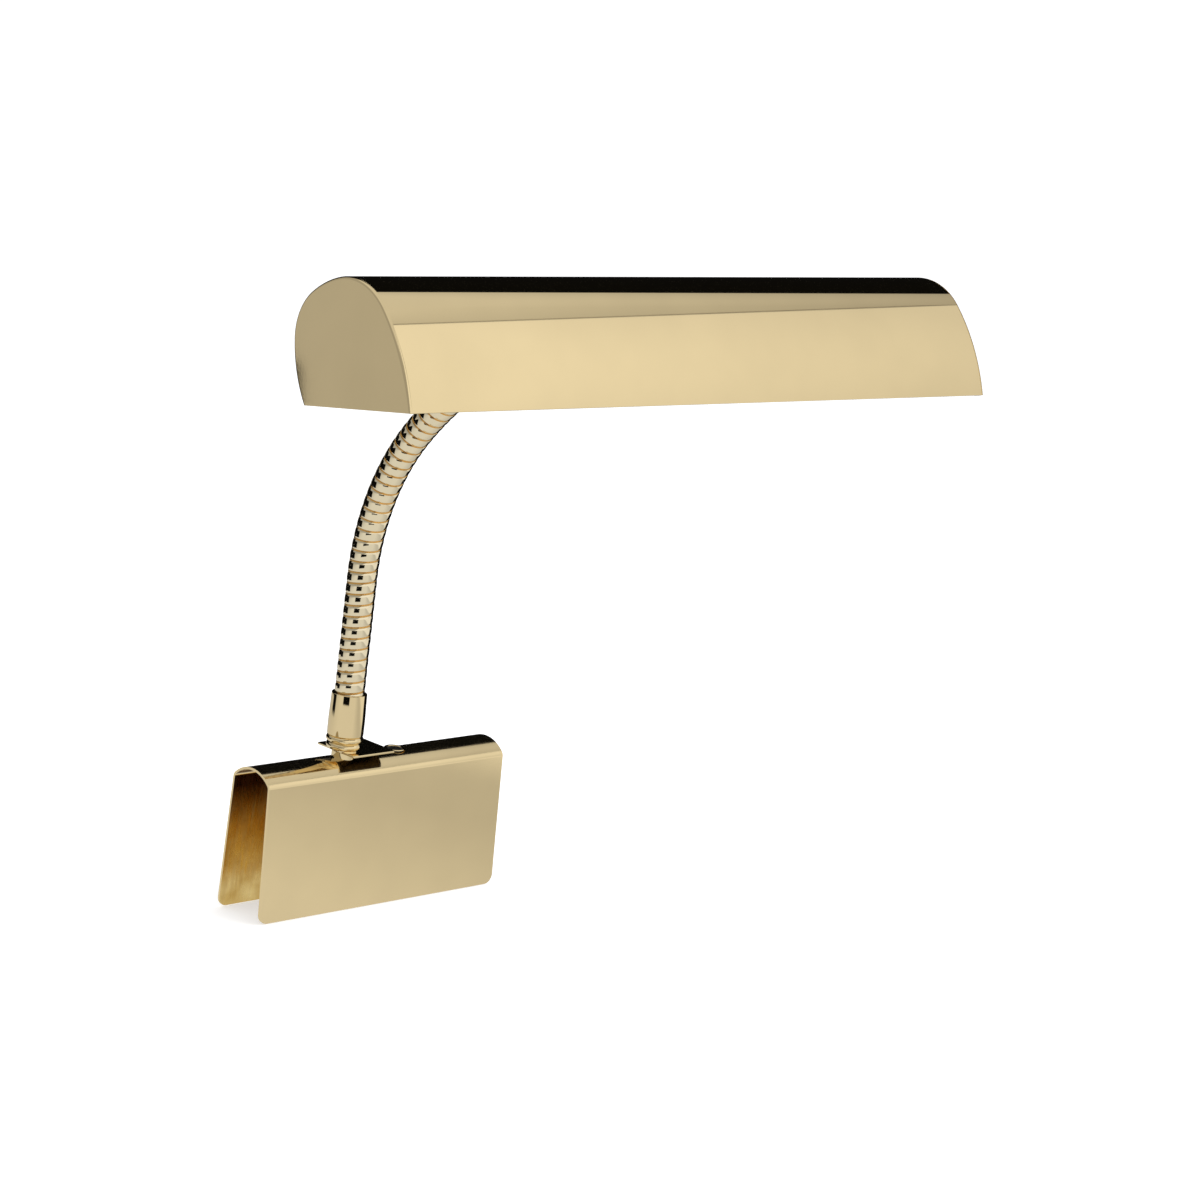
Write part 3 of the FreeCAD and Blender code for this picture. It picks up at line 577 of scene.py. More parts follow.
def finish(name):
    """The named finish, made once from the panel's settings."""
    if name in MATERIALS:
        return MATERIALS[name]
    look = bpy.context.scene.piano_lamp_finish
    brass, coil = tuple(look.brass_colour), tuple(look.coil_colour)
    makers = {
        "shade_brass": lambda: polished_brass("shade_brass", brass, look.shade_roughness),
        "flat_brass": lambda: polished_brass("flat_brass", brass, look.flat_roughness, 0.05),
        "foot_brass": lambda: polished_brass("foot_brass", brass, look.shade_roughness * 0.8),
        "coil_brass": lambda: polished_brass("coil_brass", coil, look.shade_roughness),
        "groove_wire": lambda: polished_brass("groove_wire", (0.78, 0.47, 0.14), 0.16),
        "inner_brass": inner_brass_painted_light,
        # Near-black metal that paints the shade under the foot plate
        "underside_painted_shade": lambda: plain_metal("plate_underside_painted_shade", (0.05, 0.035, 0.02), 0.5),
        "steel": lambda: plain_metal("zinc_steel", (0.62, 0.62, 0.6), 0.34),
        "spring": lambda: plain_metal("spring_wire", (0.3, 0.28, 0.25), 0.42),
        "socket_brass": lambda: plain_metal("socket_brass", (0.78, 0.6, 0.32), 0.28),
        "lamp_cap": lambda: plain_metal("lamp_cap_metal", (0.82, 0.8, 0.74), 0.24),
        "phenolic": lambda: moulded("socket_phenolic", (0.03, 0.026, 0.022), 0.36),
        "bushing": lambda: moulded("cord_bushing_black", (0.02, 0.02, 0.02), 0.45),
        "insulation": lambda: moulded("wire_insulation", (0.80, 0.77, 0.68), 0.4),
        "glass": lamp_glass_material,
        "flag": flag_material,
        "tungsten": lambda: plain_metal("filament_tungsten", (0.25, 0.25, 0.26), 0.4),
        "stem": lambda: moulded("glass_stem", (0.75, 0.78, 0.8), 0.12),
    }
    MATERIALS[name] = makers[name]()
    return MATERIALS[name]


def stands_for(piece, body, slot, *nodes):
    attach(piece, body)
    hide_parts(*nodes)


def on_side(side):
    """Mirror image for the left side of the shade, nothing for the right."""
    return Matrix.Scale(-1, 4, (1, 0, 0)) if side < 0 else Matrix.Identity(4)


# Shade


def section(offset, step_deg=1.2):
    return arc_points((-SHADE_DEPTH / 2, 0.0), SECTION_START_DEG, SECTION_ARCS, offset, step_deg)


def make_shell(length, sheet):
    outer = section(0.0)
    inner = section(sheet)
    half = length / 2 - CAP_THICKNESS
    bm = extruded_outline(outer + inner[::-1], -half, half)
    piece = finish_mesh(bm, "shade_trough", finish("shade_brass"), SHADE)
    soften(piece, 0.2)
    stands_for(piece, "head", "polished_brass", "shade_shell")


def make_cap(side, length, rim, sheet):
    """Flat end cap with a rounded rim, and the lip that holds it in the shell."""
    bm = extruded_outline(section(0.0), 0.0, CAP_THICKNESS)
    edges = []
    for edge in bm.edges:
        middle = (edge.verts[0].co + edge.verts[1].co) / 2
        level = abs(edge.verts[0].co.x - CAP_THICKNESS) + abs(edge.verts[1].co.x - CAP_THICKNESS)
        if level < TINY and middle.z > RIM_START:
            edges.append(edge)
    bevel_edges(bm, edges, rim, 6)
    matrix = SHADE @ on_side(side) @ Matrix.Translation((length / 2 - CAP_THICKNESS, 0, 0))
    name = "shade_cap_" + SIDE_NAMES[side]
    node = "end_cap_" + SIDE_NAMES[side]
    piece = finish_mesh(bm, name, finish("flat_brass"), matrix)
    play, inset, depth = CAP_LIP
    lip_outline = section(sheet + play, 3.0) + section(sheet + inset, 3.0)[::-1]
    lip = extruded_outline(lip_outline, -depth, play)
    lip_piece = finish_mesh(lip, name + "_lip", finish("flat_brass"), matrix)
    stands_for(lip_piece, "head", "polished_brass", node)
    stands_for(piece, "head", "polished_brass", node)


def make_collar():
    """Flared cup on the rear wall that takes the neck's upper end."""
    wall = SHADE_DEPTH / 2
    mouth = wall + COLLAR_LENGTH
    profile = [(wall - 0.4, NIPPLE_RADIUS), (wall - 0.4, CUP_FLANGE_RADIUS)]
    profile += rounded((wall + 0.8, CUP_FLANGE_RADIUS - 0.4), 0.8, 0, 90, 5)
    profile += [(wall + 2.2, MOUTH_RADIUS + 0.5), (wall + 2.8, MOUTH_RADIUS)]
    profile += [(wall + 9.0, MOUTH_RADIUS + 0.1)]
    profile += rounded((mouth - 0.5, MOUTH_RADIUS - 0.5), 0.5, 0, 90, 4)
    bore, seat = COIL_RADIUS + 0.4, wall + CUP_SEAT
    profile += [(mouth, bore), (seat, bore), (seat, NIPPLE_RADIUS)]
    bm = spun(profile)
    turn = Matrix.Rotation(math.radians(-90), 4, "X")
    matrix = SHADE @ Matrix.Translation((0, 0, NECK_ENTRY_HEIGHT)) @ turn
    piece = finish_mesh(bm, "neck_cup", finish("foot_brass"), matrix)
    stands_for(piece, "head", "polished_brass", "neck_collar")


# Clip


def clip_side(offset):
    """Outer or inner line from the crown's top down to the rear leg's foot."""
    arcs = ((CROWN_RADIUS, CROWN_HALF_ANGLE), (SHOULDER_RADIUS, 90.0 - LEG_SPLAY - CROWN_HALF_ANGLE))
    points = arc_points((0.0, CROWN_TOP_MM), 0.0, arcs, offset, 2.0)
    side_across, side_up = points[-1]
    foot = CROWN_TOP_MM - CLIP_HEIGHT
    drop = side_up - foot
    points.append((side_across + drop * math.tan(math.radians(LEG_SPLAY)), foot))
    return points


def make_clip(sheet, corner):
    low, high = (end[0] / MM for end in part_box("clip"))
    outer = clip_side(0.0)
    inner = clip_side(sheet)
    outline = [(-across, up) for across, up in outer[:0:-1]] + outer
    outline += inner[::-1] + [(-across, up) for across, up in inner[1:]]
    bm = extruded_outline(outline, low, high)
    foot = CROWN_TOP_MM - CLIP_HEIGHT
    corners = []
    for edge in bm.edges:
        first, second = edge.verts[0].co, edge.verts[1].co
        at_foot = abs(first.z - foot) < 0.01 and abs(second.z - foot) < 0.01
        at_end = abs(first.x - second.x) < 0.01
        if at_foot and at_end and abs(first.y) > 10 and first.y * second.y > 0:
            corners.append(edge)
    bevel_edges(bm, corners, corner, 8)
    piece = finish_mesh(bm, "clip_sheet", finish("flat_brass"))
    piece.data.materials.append(finish("inner_brass"))
    # Inward faces of the legs below that height get the inner brass: amber painted in for bounced light,
    # painted shade under the crown, and scratches
    for polygon in piece.data.polygons:
        centre = polygon.center / MM
        inward = polygon.normal.y * centre.y < 0 and abs(polygon.normal.x) < 0.5
        if inward and centre.z < INNER_WEAR_AND_PAINTED_LIGHT_BELOW:
            polygon.material_index = 1
    cut_round_hole(piece, (0, 0, 0), NIPPLE_RADIUS)
    cut_round_hole(piece, (CORD_HOLE_X, 0, 0), CORD_HOLE_RADIUS)
    soften(piece, 0.3, 3)
    stands_for(piece, "base", "polished_brass", "clip")


def cut_round_hole(piece, place, radius):
    """Cut a round hole down through the crown and keep the result in the mesh."""
    bm = bmesh.new()
    bmesh.ops.create_cone(
        bm, cap_ends=True, segments=48, radius1=radius * MM, radius2=radius * MM, depth=16 * MM,
        matrix=Matrix.Translation(Vector(place) * MM),
    )
    mesh = bpy.data.meshes.new("hole_cutter")
    bm.to_mesh(mesh)
    bm.free()
    cutter = bpy.data.objects.new("hole_cutter", mesh)
    bpy.context.scene.collection.objects.link(cutter)
    modifier = piece.modifiers.new("hole", "BOOLEAN")
    modifier.operation = "DIFFERENCE"
    modifier.solver = "EXACT"
    modifier.object = cutter
    bpy.context.view_layer.update()
    evaluated = piece.evaluated_get(bpy.context.evaluated_depsgraph_get())
    cut_mesh = bpy.data.meshes.new_from_object(evaluated)
    piece.modifiers.clear()
    piece.data = cut_mesh
    bpy.data.objects.remove(cutter)


def make_plate():
    """Square plate under the ferrule, polished flat, its corners a little rounded; its underside is
    painted near-black as painted shade.
    """
    low, high = (Vector(corner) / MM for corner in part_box("foot_plate"))
    bm = bmesh.new()
    bmesh.ops.create_cube(bm, size=1.0)
    size = high - low
    bmesh.ops.scale(bm, vec=size, verts=bm.verts)
    bmesh.ops.translate(bm, vec=(low + high) / 2, verts=bm.verts)
    ends = [(edge, edge.verts[0].co.z, edge.verts[1].co.z) for edge in bm.edges]
    upright = [edge for edge, first, second in ends if abs(first - second) > size.z / 2]
    bevel_edges(bm, upright, PLATE_CORNER, 5)
    piece = finish_mesh(bm, "foot_plate_polished", finish("foot_brass"))
    piece.data.materials.append(finish("underside_painted_shade"))
    # Painted shade: faces that point down get the near-black metal
    for polygon in piece.data.polygons:
        if polygon.normal.z < -0.5:
            polygon.material_index = 1
    cut_round_hole(piece, (0, 0, 0), NIPPLE_RADIUS)
    soften(piece, 0.25)
    stands_for(piece, "base", "polished_brass", "foot_plate")


def make_bushing():
    """Black sleeve in the cord's hole, with a rolled brass eyelet round its top."""
    rim = CORD_HOLE_RADIUS + EYELET_RIM
    outside = CORD_HOLE_RADIUS - 0.05
    place = Matrix.Translation((CORD_HOLE_X, 0, 0))
    sleeve = [(BUSHING_FOOT, CORD_BORE_RADIUS), (BUSHING_FOOT, outside), (CROWN_TOP_MM, outside)]
    sleeve += [(1.35, CORD_BORE_RADIUS + 0.5), (1.3, CORD_BORE_RADIUS)]
    bushing = finish_mesh(spun(sleeve, 64), "cord_sleeve", finish("bushing"), place)
    stands_for(bushing, "base", "bushing_black", "cord_bushing")
    eyelet = [(CROWN_TOP_MM, CORD_HOLE_RADIUS - 0.6), (CROWN_TOP_MM, rim)]
    eyelet += rounded((1.3, rim - EYELET_ROLL), EYELET_ROLL, 0, 90, 4)
    eyelet += rounded((1.3, CORD_HOLE_RADIUS - 0.25), EYELET_ROLL, 90, 180, 4)
    ring = finish_mesh(spun(eyelet, 64), "cord_eyelet", finish("foot_brass"), place)
    stands_for(ring, "base", "polished_brass", "cord_bushing")


def make_ferrule():
    """Foot, two beads and a slightly swollen barrel, turned in one profile."""
    floor = PLATE_TOP
    low_bead = floor + FERRULE_FOOT + BEAD_RADIUS * 0.8
    high_bead = low_bead + 1.8 * BEAD_RADIUS
    barrel = high_bead + BEAD_RADIUS
    profile = [(floor, NIPPLE_RADIUS), (floor, FOOT_RADIUS), (floor + FERRULE_FOOT, FOOT_RADIUS)]
    profile += rounded((low_bead, FOOT_RADIUS - 0.3), BEAD_RADIUS, -62, 58, 10)
    profile += rounded((high_bead, FOOT_RADIUS), BEAD_RADIUS, -58, 62, 10)
    profile += [(barrel - 0.1, BARREL_RADIUS - 0.35), (barrel + 0.3, BARREL_RADIUS - 0.05)]
    profile += [(barrel + 4.0, BARREL_RADIUS), (barrel + 9.0, BARREL_RADIUS)]
    profile += [(FERRULE_TOP - 5.0, MOUTH_RADIUS + 0.1), (FERRULE_TOP - 0.6, MOUTH_RADIUS)]
    profile += rounded((FERRULE_TOP - 0.4, MOUTH_RADIUS - 0.4), 0.4, 20, 90, 4)
    bore, seat = COIL_RADIUS + 0.1, floor + FERRULE_SEAT
    profile += [(FERRULE_TOP, bore), (seat, bore), (seat, NIPPLE_RADIUS)]
    piece = finish_mesh(spun(profile, 128), "foot_ferrule", finish("foot_brass"), None, 24.0)
    stands_for(piece, "base", "polished_brass", "neck_ferrule")


# Gooseneck


def ribbon_profile():
    """Closed outline of one turn of ribbon as (along, radius) points, with a crowned back."""
    points = [(-RIBBON_HALF + 0.25, RIBBON_INNER), (-RIBBON_HALF, RIBBON_INNER + 0.4)]
    points.append((-RIBBON_HALF, COIL_RADIUS - RIBBON_FALL - 0.35))
    for index in range(11):
        share = -1 + 2 * index / 10
        along = share * (RIBBON_HALF - 0.06)
        fall = 0.45 * RIBBON_FALL * share * share + 0.55 * RIBBON_FALL * abs(share) ** 8
        points.append((along, COIL_RADIUS - fall))
    points.append((RIBBON_HALF, COIL_RADIUS - RIBBON_FALL - 0.35))
    points += [(RIBBON_HALF, RIBBON_INNER + 0.4), (RIBBON_HALF - 0.25, RIBBON_INNER)]
    return points


def wire_profile(side):
    """Section of one of the two thin wires that lie in the groove between turns."""
    middle = COIL_PITCH / 2 + side * WIRE_SPREAD
    points = []
    for index in range(8):
        angle = math.tau * index / 8
        along = middle + WIRE_RADIUS * math.sin(angle)
        points.append((along, WIRE_SEAT + WIRE_RADIUS * math.cos(angle)))
    return points


def wound(profile, first_turn, last_turn, steps_per_turn=60):
    """Helix of an outline from one turn to another, laid along the neck's line."""
    bm = bmesh.new()
    start = COIL_START + first_turn * COIL_PITCH
    verts = [bm.verts.new((radius, 0, start + along)) for along, radius in profile]
    face = bm.faces.new(verts)
    turns = last_turn - first_turn
    steps = steps_per_turn * turns
    bmesh.ops.spin(
        bm, geom=[face], cent=(0, 0, 0), axis=(0, 0, 1), dvec=(0, 0, turns * COIL_PITCH / steps),
        angle=math.tau * turns, steps=steps, use_merge=False, use_normal_flip=False,
    )
    for vert in bm.verts:
        forward, up, lean = neck_point(vert.co.z)
        across, depth = vert.co.x, vert.co.y
        line = Vector((0, -forward, up))
        sideways = Vector((0, math.cos(lean), math.sin(lean)))
        vert.co = TWIST @ (line + Vector((across, 0, 0)) + sideways * depth)
    return bm


def make_winding(name, body, first_turn, last_turn, *nodes):
    helix = wound(ribbon_profile(), first_turn, last_turn)
    ribbon = finish_mesh(helix, name + "_ribbon", finish("coil_brass"))
    stands_for(ribbon, body, "coil_brass", *nodes)
    for side, tag in ((-1, "_wire_low"), (1, "_wire_high")):
        helix = wound(wire_profile(side), first_turn, last_turn, 40)
        wire = finish_mesh(helix, name + tag, finish("groove_wire"))
        stands_for(wire, body, "coil_brass", *nodes)


# Lamps


def lathe_on_lamp(profile, name, material, side, steps=72):
    """Turn (x, radius) points round the lamps' axis on one side of the shade."""
    bm = spun(profile, steps)
    turn = Matrix.Rotation(math.radians(90), 4, "Y")
    place = Matrix.Translation((0, LAMP_AXIS_Y, LAMP_AXIS_Z))
    return finish_mesh(bm, name, material, SHADE @ on_side(side) @ place @ turn)


def glass_profile(wall):
    neck = LAMP_CAP_RADIUS - 0.6 - wall
    radius = LAMP_GLASS_RADIUS - wall
    cap_end = LAMP_CAP_START + LAMP_CAP_LENGTH
    tip = LAMP_TIP_X - wall
    dome = radius * 0.9
    points = [(cap_end - 8.0 + wall, 0.0), (cap_end - 8.0 + wall, neck - 1.0)]
    points += [(cap_end - 7.0 + wall, neck), (cap_end + 1.5, neck)]
    for index in range(1, 10):
        share = index / 10
        ease = share * share * (3 - 2 * share)
        points.append((cap_end + 1.5 + GLASS_SHOULDER * share, neck + (radius - neck) * ease))
    points.append((cap_end + 1.5 + GLASS_SHOULDER, radius))
    for index in range(13):
        angle = math.radians(90 * index / 12)
        points.append((tip - dome + dome * math.sin(angle), radius - dome + dome * math.cos(angle)))
    points.append((tip, 0.0))
    return points


def make_lamp(side):
    tag = SIDE_NAMES[side]
    glass = lathe_on_lamp(glass_profile(0.0), "tube_glass_" + tag, finish("glass"), side)
    stands_for(glass, "head", "lamp_glass", "lamp_glass_" + tag)
    inside = lathe_on_lamp(glass_profile(GLASS_WALL), "tube_inside_" + tag, finish("glass"), side)
    inside.data.flip_normals()
    stands_for(inside, "head", "lamp_glass", "lamp_glass_" + tag)
    start = LAMP_CAP_START
    profile = [(start + 3.0, 4.0), (start + 1.6, 4.0), (start + 1.6, 8.0)]
    profile.append((start + 4.2, LAMP_CAP_RADIUS - 0.9))
    for index in range(THREAD_TURNS * 6 + 1):
        along = start + 4.6 + THREAD_PITCH * index / 6
        wave = THREAD_HALF_DEPTH * math.cos(math.tau * index / 6)
        profile.append((along, LAMP_CAP_RADIUS - THREAD_HALF_DEPTH + wave))
    end = start + LAMP_CAP_LENGTH
    profile += [(end - 1.5, LAMP_CAP_RADIUS - 0.3), (end, LAMP_CAP_RADIUS)]
    profile += [(end, LAMP_CAP_RADIUS - 0.5), (start + 5.0, LAMP_CAP_RADIUS - 1.4), (start + 3.0, 8.0)]
    cap = lathe_on_lamp(profile, "screw_cap_" + tag, finish("lamp_cap"), side)
    stands_for(cap, "head", "lamp_cap_metal", "lamp_base_" + tag)
    make_lamp_inside(side, tag)


def make_lamp_inside(side, tag):
    """Pressed stem, support wires and a fine coiled filament."""
    cap_end = LAMP_CAP_START + LAMP_CAP_LENGTH
    stem_end = cap_end + 12.0
    wire_end = LAMP_TIP_X - 22.0
    profile = [(cap_end - 6.8, 0.0), (cap_end - 6.8, 7.8), (cap_end - 2.0, 5.0), (stem_end - 4.0, 3.0)]
    profile += [(stem_end, 2.6), (stem_end, 1.1), (wire_end, 1.1), (wire_end + 1.0, 0.0)]
    stem = lathe_on_lamp(profile, "glass_mount_" + tag, finish("stem"), side, 32)
    stands_for(stem, "head", "lamp_mount", "lamp_filament_" + tag)
    bm = bmesh.new()
    start = stem_end + 6.0
    height = LAMP_AXIS_Z + FILAMENT_RISE
    ring = []
    for angle in (0.0, math.tau / 3, 2 * math.tau / 3):
        across = LAMP_AXIS_Y + FILAMENT_RADIUS + FILAMENT_WIRE * math.sin(angle)
        ring.append(bm.verts.new((start, across, height + FILAMENT_WIRE * math.cos(angle))))
    steps = FILAMENT_TURNS * 8
    bmesh.ops.spin(
        bm, geom=[bm.faces.new(ring)], cent=(start, LAMP_AXIS_Y, height), axis=(1, 0, 0),
        dvec=((wire_end - start) / steps, 0, 0), angle=math.tau * FILAMENT_TURNS,
        steps=steps, use_merge=False,
    )
    for along in (start, (start + wire_end) / 2, wire_end):
        post = Matrix.Translation((along, LAMP_AXIS_Y, LAMP_AXIS_Z + 3.4))
        bmesh.ops.create_cone(
            bm, cap_ends=True, segments=8, radius1=0.3, radius2=0.3, depth=6.4, matrix=post
        )
    coil = finish_mesh(bm, "filament_" + tag, finish("tungsten"), SHADE @ on_side(side))
    stands_for(coil, "head", "lamp_mount", "lamp_filament_" + tag)


# Pieces that keep their frame shape

NODE_FINISHES = (
    ("crown_spacer", "foot_brass"),
    ("ferrule_set_screw", "steel"),
    ("seat_washer", "steel"),
    ("clip_nut", "steel"),
    ("clip_nipple", "steel"),
    ("shade_nipple", "steel"),
    ("bracket_spacer", "steel"),
    ("lock_washer", "steel"),
    ("shade_nut", "steel"),
    ("socket_bracket", "steel"),
    ("socket_screws", "steel"),
    ("lead_wires", "insulation"),
    ("inner_spring", "spring"),
    ("socket_body", "phenolic"),
    ("screw_shell", "socket_brass"),
    ("socket_contact", "socket_brass"),
    ("lamp_contact", "socket_brass"),
)


def dress_nodes():
    """Give every node that still shows its own finish."""
    for name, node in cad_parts.items():
        for start, look in NODE_FINISHES:
            if name.startswith(start):
                for slot in node.material_slots:
                    slot.material = finish(look)
                break


# Stage


def add_plane(name, size, matrix, material):
    bm = bmesh.new()
    bmesh.ops.create_grid(bm, x_segments=1, y_segments=1, size=0.5)
    bmesh.ops.scale(bm, vec=(size[0], size[1], 1.0), verts=bm.verts)
    bmesh.ops.transform(bm, matrix=matrix, verts=bm.verts)
    mesh = bpy.data.meshes.new(name)
    bm.to_mesh(mesh)
    bm.free()
    mesh.materials.append(material)
    plane = bpy.data.objects.new(name, mesh)
    bpy.context.scene.collection.objects.link(plane)
    return plane


def direction(azimuth_deg, elevation_deg):
    """Unit vector; azimuth turns from the player's side towards +X."""
    azimuth = math.radians(azimuth_deg)
    elevation = math.radians(elevation_deg)
    return Vector((
        math.sin(azimuth) * math.cos(elevation),
        -math.cos(azimuth) * math.cos(elevation),
        math.sin(elevation),
    ))


def add_area(name, azimuth_deg, elevation_deg, distance, size, energy, centre):
    """Soft box that lights the part; the metal mirrors the graded surroundings instead."""
    light = bpy.data.lights.new(name, "AREA")
    light.shape = "RECTANGLE"
    light.size, light.size_y = size
    light.energy = energy
    out = direction(azimuth_deg, elevation_deg)
    lamp = bpy.data.objects.new(name, light)
    turn = out.to_track_quat("Z", "Y").to_matrix().to_4x4()
    lamp.matrix_world = Matrix.Translation(centre + out * distance) @ turn
    lamp.visible_glossy = False
    bpy.context.scene.collection.objects.link(lamp)


def along(tree, coords, way):
    """How far a direction of the surroundings points along a unit vector."""
    node = tree.nodes.new("ShaderNodeVectorMath")
    node.operation = "DOT_PRODUCT"
    node.inputs[1].default_value = way
    tree.links.new(coords.outputs["Generated"], node.inputs[0])
    return node.outputs["Value"]


def blended(tree, share, first, second):
    """First at share 0, second at share 1; each is a socket or a number."""
    node = tree.nodes.new("ShaderNodeMix")
    node.data_type = "FLOAT"
    tree.links.new(share, node.inputs["Factor"])
    for socket, value in ((node.inputs["A"], first), (node.inputs["B"], second)):
        if isinstance(value, float):
            socket.default_value = value
        else:
            tree.links.new(value, socket)
    return node.outputs["Result"]


def far_side(first, second, beyond):
    """Unit normal of the plane through two directions, towards a third."""
    side = direction(*first).cross(direction(*second)).normalized()
    if side.dot(direction(*beyond)) < 0:
        side.negate()
    return side


def mirrored_studio(tree):
    """Level mirrored from each direction: pale front wall, grey ceiling, a seam, dark rear."""
    coords = tree.nodes.new("ShaderNodeTexCoord")
    wall = graded(tree, along(tree, coords, far_side(*WALL_LINE)), 0.0, 0.16, *WALL_LEVELS)
    ceiling = graded(tree, along(tree, coords, Vector((0, 0, 1))), 0.63, 0.75, *CEILING_LEVELS)
    past_seam = along(tree, coords, far_side(*SEAM_LINE))
    level = blended(tree, graded(tree, past_seam, -0.004, 0.004, 0.0, 1.0), wall, ceiling)
    distance = tree.nodes.new("ShaderNodeMath")
    distance.operation = "ABSOLUTE"
    tree.links.new(past_seam, distance.inputs[0])
    level = times(tree, level, graded(tree, distance.outputs[0], 0.001, 0.006, SEAM_SHADE, 1.0))
    past_rear = graded(tree, along(tree, coords, far_side(*REAR_LINE)), -0.006, 0.006, 0.0, 1.0)
    in_rear = graded(tree, along(tree, coords, direction(*REAR_LINE[2])), 0.6, 0.64, 0.0, 1.0)
    return blended(tree, times(tree, past_rear, in_rear), level, FLAG_LEVEL)


def add_flag(azimuth_deg, half_width_deg, distance, low, high):
    """Upright dark card on the floor that shows only in the metal."""
    out = direction(azimuth_deg, 0.0)
    width = 2 * distance * math.tan(math.radians(half_width_deg))
    middle = out * distance + Vector((0, 0, (low + high) / 2))
    turn = out.to_track_quat("Z", "Y").to_matrix().to_4x4()
    name = "flag_" + str(azimuth_deg % 360)
    card = add_plane(name, (width, high - low), Matrix.Translation(middle) @ turn, finish("flag"))
    for kind in ("camera", "diffuse", "transmission", "volume_scatter", "shadow"):
        setattr(card, "visible_" + kind, False)


def background(tree, strength):
    node = tree.nodes.new("ShaderNodeBackground")
    node.inputs["Color"].default_value = WHITE
    node.inputs["Strength"].default_value = strength
    return node


def make_world(glow):
    """White where it is seen, a graded studio where it is mirrored, and plain soft light besides."""
    world = bpy.data.worlds.new("studio")
    world.use_nodes = True
    bpy.context.scene.world = world
    tree = world.node_tree
    tree.nodes.clear()
    soft, white, studio = (background(tree, strength) for strength in (glow, 1.0, 0.0))
    tree.links.new(mirrored_studio(tree), studio.inputs["Strength"])
    out = tree.nodes.new("ShaderNodeOutputWorld")
    surface = by_ray(tree, soft.outputs[0], white.outputs[0], studio.outputs[0])
    tree.links.new(surface, out.inputs["Surface"])


def make_camera():
    """Camera of the photograph: the neck's foot on the crown falls on its pixel."""
    back = direction(CAMERA_AZIMUTH_DEG, CAMERA_ELEVATION_DEG)
    level = (-back).cross(Vector((0, 0, 1))).normalized()
    upward = level.cross(-back)
    roll = math.radians(CAMERA_ROLL_DEG)
    right = level * math.cos(roll) + upward * math.sin(roll)
    top = upward * math.cos(roll) - level * math.sin(roll)
    middle = PHOTO_SIZE_PX / 2
    across = (FOOT_PIXEL[0] - middle) * CAMERA_DEPTH_M / FOCAL_PX
    down = (FOOT_PIXEL[1] - middle) * CAMERA_DEPTH_M / FOCAL_PX
    target = Vector((0, 0, CROWN_TOP_MM * MM))
    place = target - right * across + top * down + back * CAMERA_DEPTH_M
    lens = bpy.data.cameras.new("photo_camera")
    lens.sensor_width = SENSOR_MM
    lens.lens = SENSOR_MM * FOCAL_PX / PHOTO_SIZE_PX
    lens.clip_start = 0.05
    lens.clip_end = 30.0
    camera = bpy.data.objects.new("photo_camera", lens)
    turn = Matrix((right, top, back)).transposed().to_4x4()
    camera.matrix_world = Matrix.Translation(place) @ turn
    bpy.context.scene.collection.objects.link(camera)
    bpy.context.scene.camera = camera


def make_stage(glow):
    scene = bpy.context.scene
    scene.view_settings.view_transform = "Standard"
    low, high = CAD_BOX
    centre = Vector(((low[0] + high[0]) / 2, (low[1] + high[1]) / 2, (low[2] + high[2]) / 2))
    floor = Matrix.Translation((centre.x, centre.y, low[2] - FLOOR_GAP))
    add_plane("floor", (FLOOR_SIZE, FLOOR_SIZE), floor, floor_material())
    for azimuth, half_width, distance, _, top in FLAGS:
        add_flag(azimuth, half_width, distance, low[2], top)
    for name, light in LIGHTS.items():
        add_area(name, *light, centre)
    make_world(glow)
    make_camera()


# Settings, operators and panel


class PianoLampSize(bpy.types.PropertyGroup):
    shade_length: bpy.props.FloatProperty(
        name="Shade length", description="Length of the shade over its caps, in mm",
        default=355.6, min=200.0, max=500.0,
    )
    shade_sheet: bpy.props.FloatProperty(
        name="Shade sheet", description="Thickness of the shade's sheet, in mm",
        default=0.9, min=0.3, max=2.0,
    )
    cap_rim: bpy.props.FloatProperty(
        name="Cap rim", description="Radius of the rounded rim of each cap, in mm",
        default=1.25, min=0.2, max=1.29,
    )
    clip_sheet: bpy.props.FloatProperty(
        name="Clip sheet", description="Thickness of the clip's sheet, in mm",
        default=1.2, min=0.5, max=2.5,
    )
    clip_corner: bpy.props.FloatProperty(
        name="Clip corner", description="Radius of the legs' lower corners, in mm",
        default=5.0, min=1.0, max=12.0,
    )


class PianoLampFinish(bpy.types.PropertyGroup):
    brass_colour: bpy.props.FloatVectorProperty(
        name="Brass", description="Colour of the polished brass", subtype="COLOR", size=3,
        default=(0.87, 0.70, 0.40), min=0.0, max=1.0,
    )
    coil_colour: bpy.props.FloatVectorProperty(
        name="Gooseneck", description="Colour of the gooseneck's winding", subtype="COLOR", size=3,
        default=(0.90, 0.79, 0.55), min=0.0, max=1.0,
    )
    shade_roughness: bpy.props.FloatProperty(
        name="Polish", description="Roughness of the mirror-polished brass",
        default=0.035, min=0.0, max=1.0,
    )
    flat_roughness: bpy.props.FloatProperty(
        name="Satin", description="Roughness of the clip and the caps",
        default=0.09, min=0.0, max=1.0,
    )
    world_glow: bpy.props.FloatProperty(
        name="Soft light", description="Strength of the even light of the studio",
        default=0.75, min=0.0, max=3.0,
    )


class PIANO_OT_shade(bpy.types.Operator):
    """Make the shade's trough, its end caps and the cup that takes the neck"""
    bl_idname = "piano_lamp.shade"
    bl_label = "Shade"

    def execute(self, context):
        size = context.scene.piano_lamp_size
        make_shell(size.shade_length, size.shade_sheet)
        for side in (-1, 1):
            make_cap(side, size.shade_length, size.cap_rim, size.shade_sheet)
        make_collar()
        return {"FINISHED"}


class PIANO_OT_clip(bpy.types.Operator):
    """Make the clip, its foot plate and the rim of the cord's hole"""
    bl_idname = "piano_lamp.clip"
    bl_label = "Clip"

    def execute(self, context):
        size = context.scene.piano_lamp_size
        make_clip(size.clip_sheet, size.clip_corner)
        make_plate()
        make_bushing()
        make_ferrule()
        return {"FINISHED"}


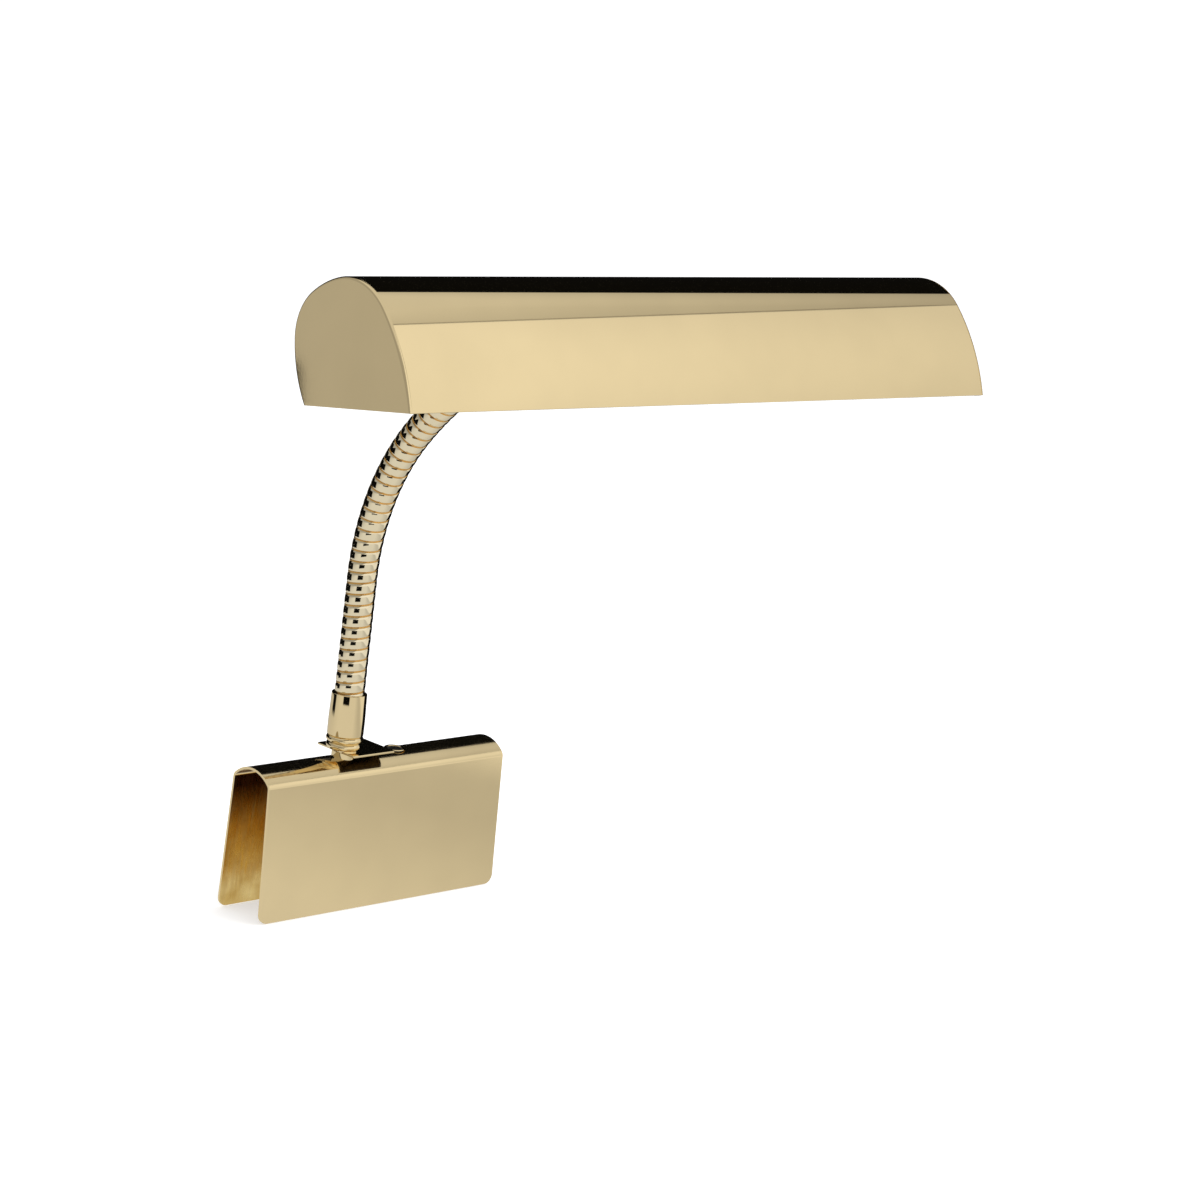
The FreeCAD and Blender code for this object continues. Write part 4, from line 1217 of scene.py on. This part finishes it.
class PIANO_OT_gooseneck(bpy.types.Operator):
    """Wind the gooseneck's ribbon and groove wires, one stretch for each moving part"""
    bl_idname = "piano_lamp.gooseneck"
    bl_label = "Gooseneck"

    def execute(self, context):
        last = SEGMENTS * TURNS_PER_SEGMENT
        make_winding("winding_foot", "base", -TURNS_IN_FERRULE, 0, "coil_end_lower")
        for segment in range(SEGMENTS):
            tag = str(segment + 1)
            first = segment * TURNS_PER_SEGMENT
            end = first + TURNS_PER_SEGMENT
            make_winding("winding_" + tag, "neck_" + tag, first, end, "coil_turns_" + tag)
        make_winding("winding_cup", "head", last, last + 1, "coil_end_upper")
        return {"FINISHED"}


class PIANO_OT_lamps(bpy.types.Operator):
    """Make the two tubular lamps"""
    bl_idname = "piano_lamp.lamps"
    bl_label = "Lamps"

    def execute(self, context):
        for side in (-1, 1):
            make_lamp(side)
        return {"FINISHED"}


class PIANO_OT_fittings(bpy.types.Operator):
    """Give the sockets, nuts, nipples, springs and wires their finishes"""
    bl_idname = "piano_lamp.fittings"
    bl_label = "Fittings"

    def execute(self, context):
        dress_nodes()
        return {"FINISHED"}


class PIANO_OT_stage(bpy.types.Operator):
    """Set the floor, the light and the photograph's camera"""
    bl_idname = "piano_lamp.stage"
    bl_label = "Stage"

    def execute(self, context):
        make_stage(context.scene.piano_lamp_finish.world_glow)
        return {"FINISHED"}


class PIANO_PT_panel(bpy.types.Panel):
    """Piano lamp tools"""
    bl_label = "Piano Lamp"
    bl_space_type = "VIEW_3D"
    bl_region_type = "UI"
    bl_category = "Piano Lamp"

    def draw(self, context):
        layout = self.layout
        for group in (context.scene.piano_lamp_size, context.scene.piano_lamp_finish):
            for name in group.__annotations__:
                layout.prop(group, name)
        for operator in OPERATORS:
            layout.operator(operator.bl_idname)


OPERATORS = (
    PIANO_OT_shade, PIANO_OT_clip, PIANO_OT_gooseneck, PIANO_OT_lamps, PIANO_OT_fittings, PIANO_OT_stage,
)
CLASSES = (PianoLampSize, PianoLampFinish) + OPERATORS + (PIANO_PT_panel,)


def register():
    for item in CLASSES:
        bpy.utils.register_class(item)
    bpy.types.Scene.piano_lamp_size = bpy.props.PointerProperty(type=PianoLampSize)
    bpy.types.Scene.piano_lamp_finish = bpy.props.PointerProperty(type=PianoLampFinish)


def unregister():
    del bpy.types.Scene.piano_lamp_finish
    del bpy.types.Scene.piano_lamp_size
    for item in reversed(CLASSES):
        bpy.utils.unregister_class(item)


def main():
    register()
    bpy.ops.piano_lamp.shade()
    bpy.ops.piano_lamp.clip()
    bpy.ops.piano_lamp.gooseneck()
    bpy.ops.piano_lamp.lamps()
    bpy.ops.piano_lamp.fittings()
    bpy.ops.piano_lamp.stage()
    bpy.context.view_layer.update()


if __name__ == "__main__":
    main()
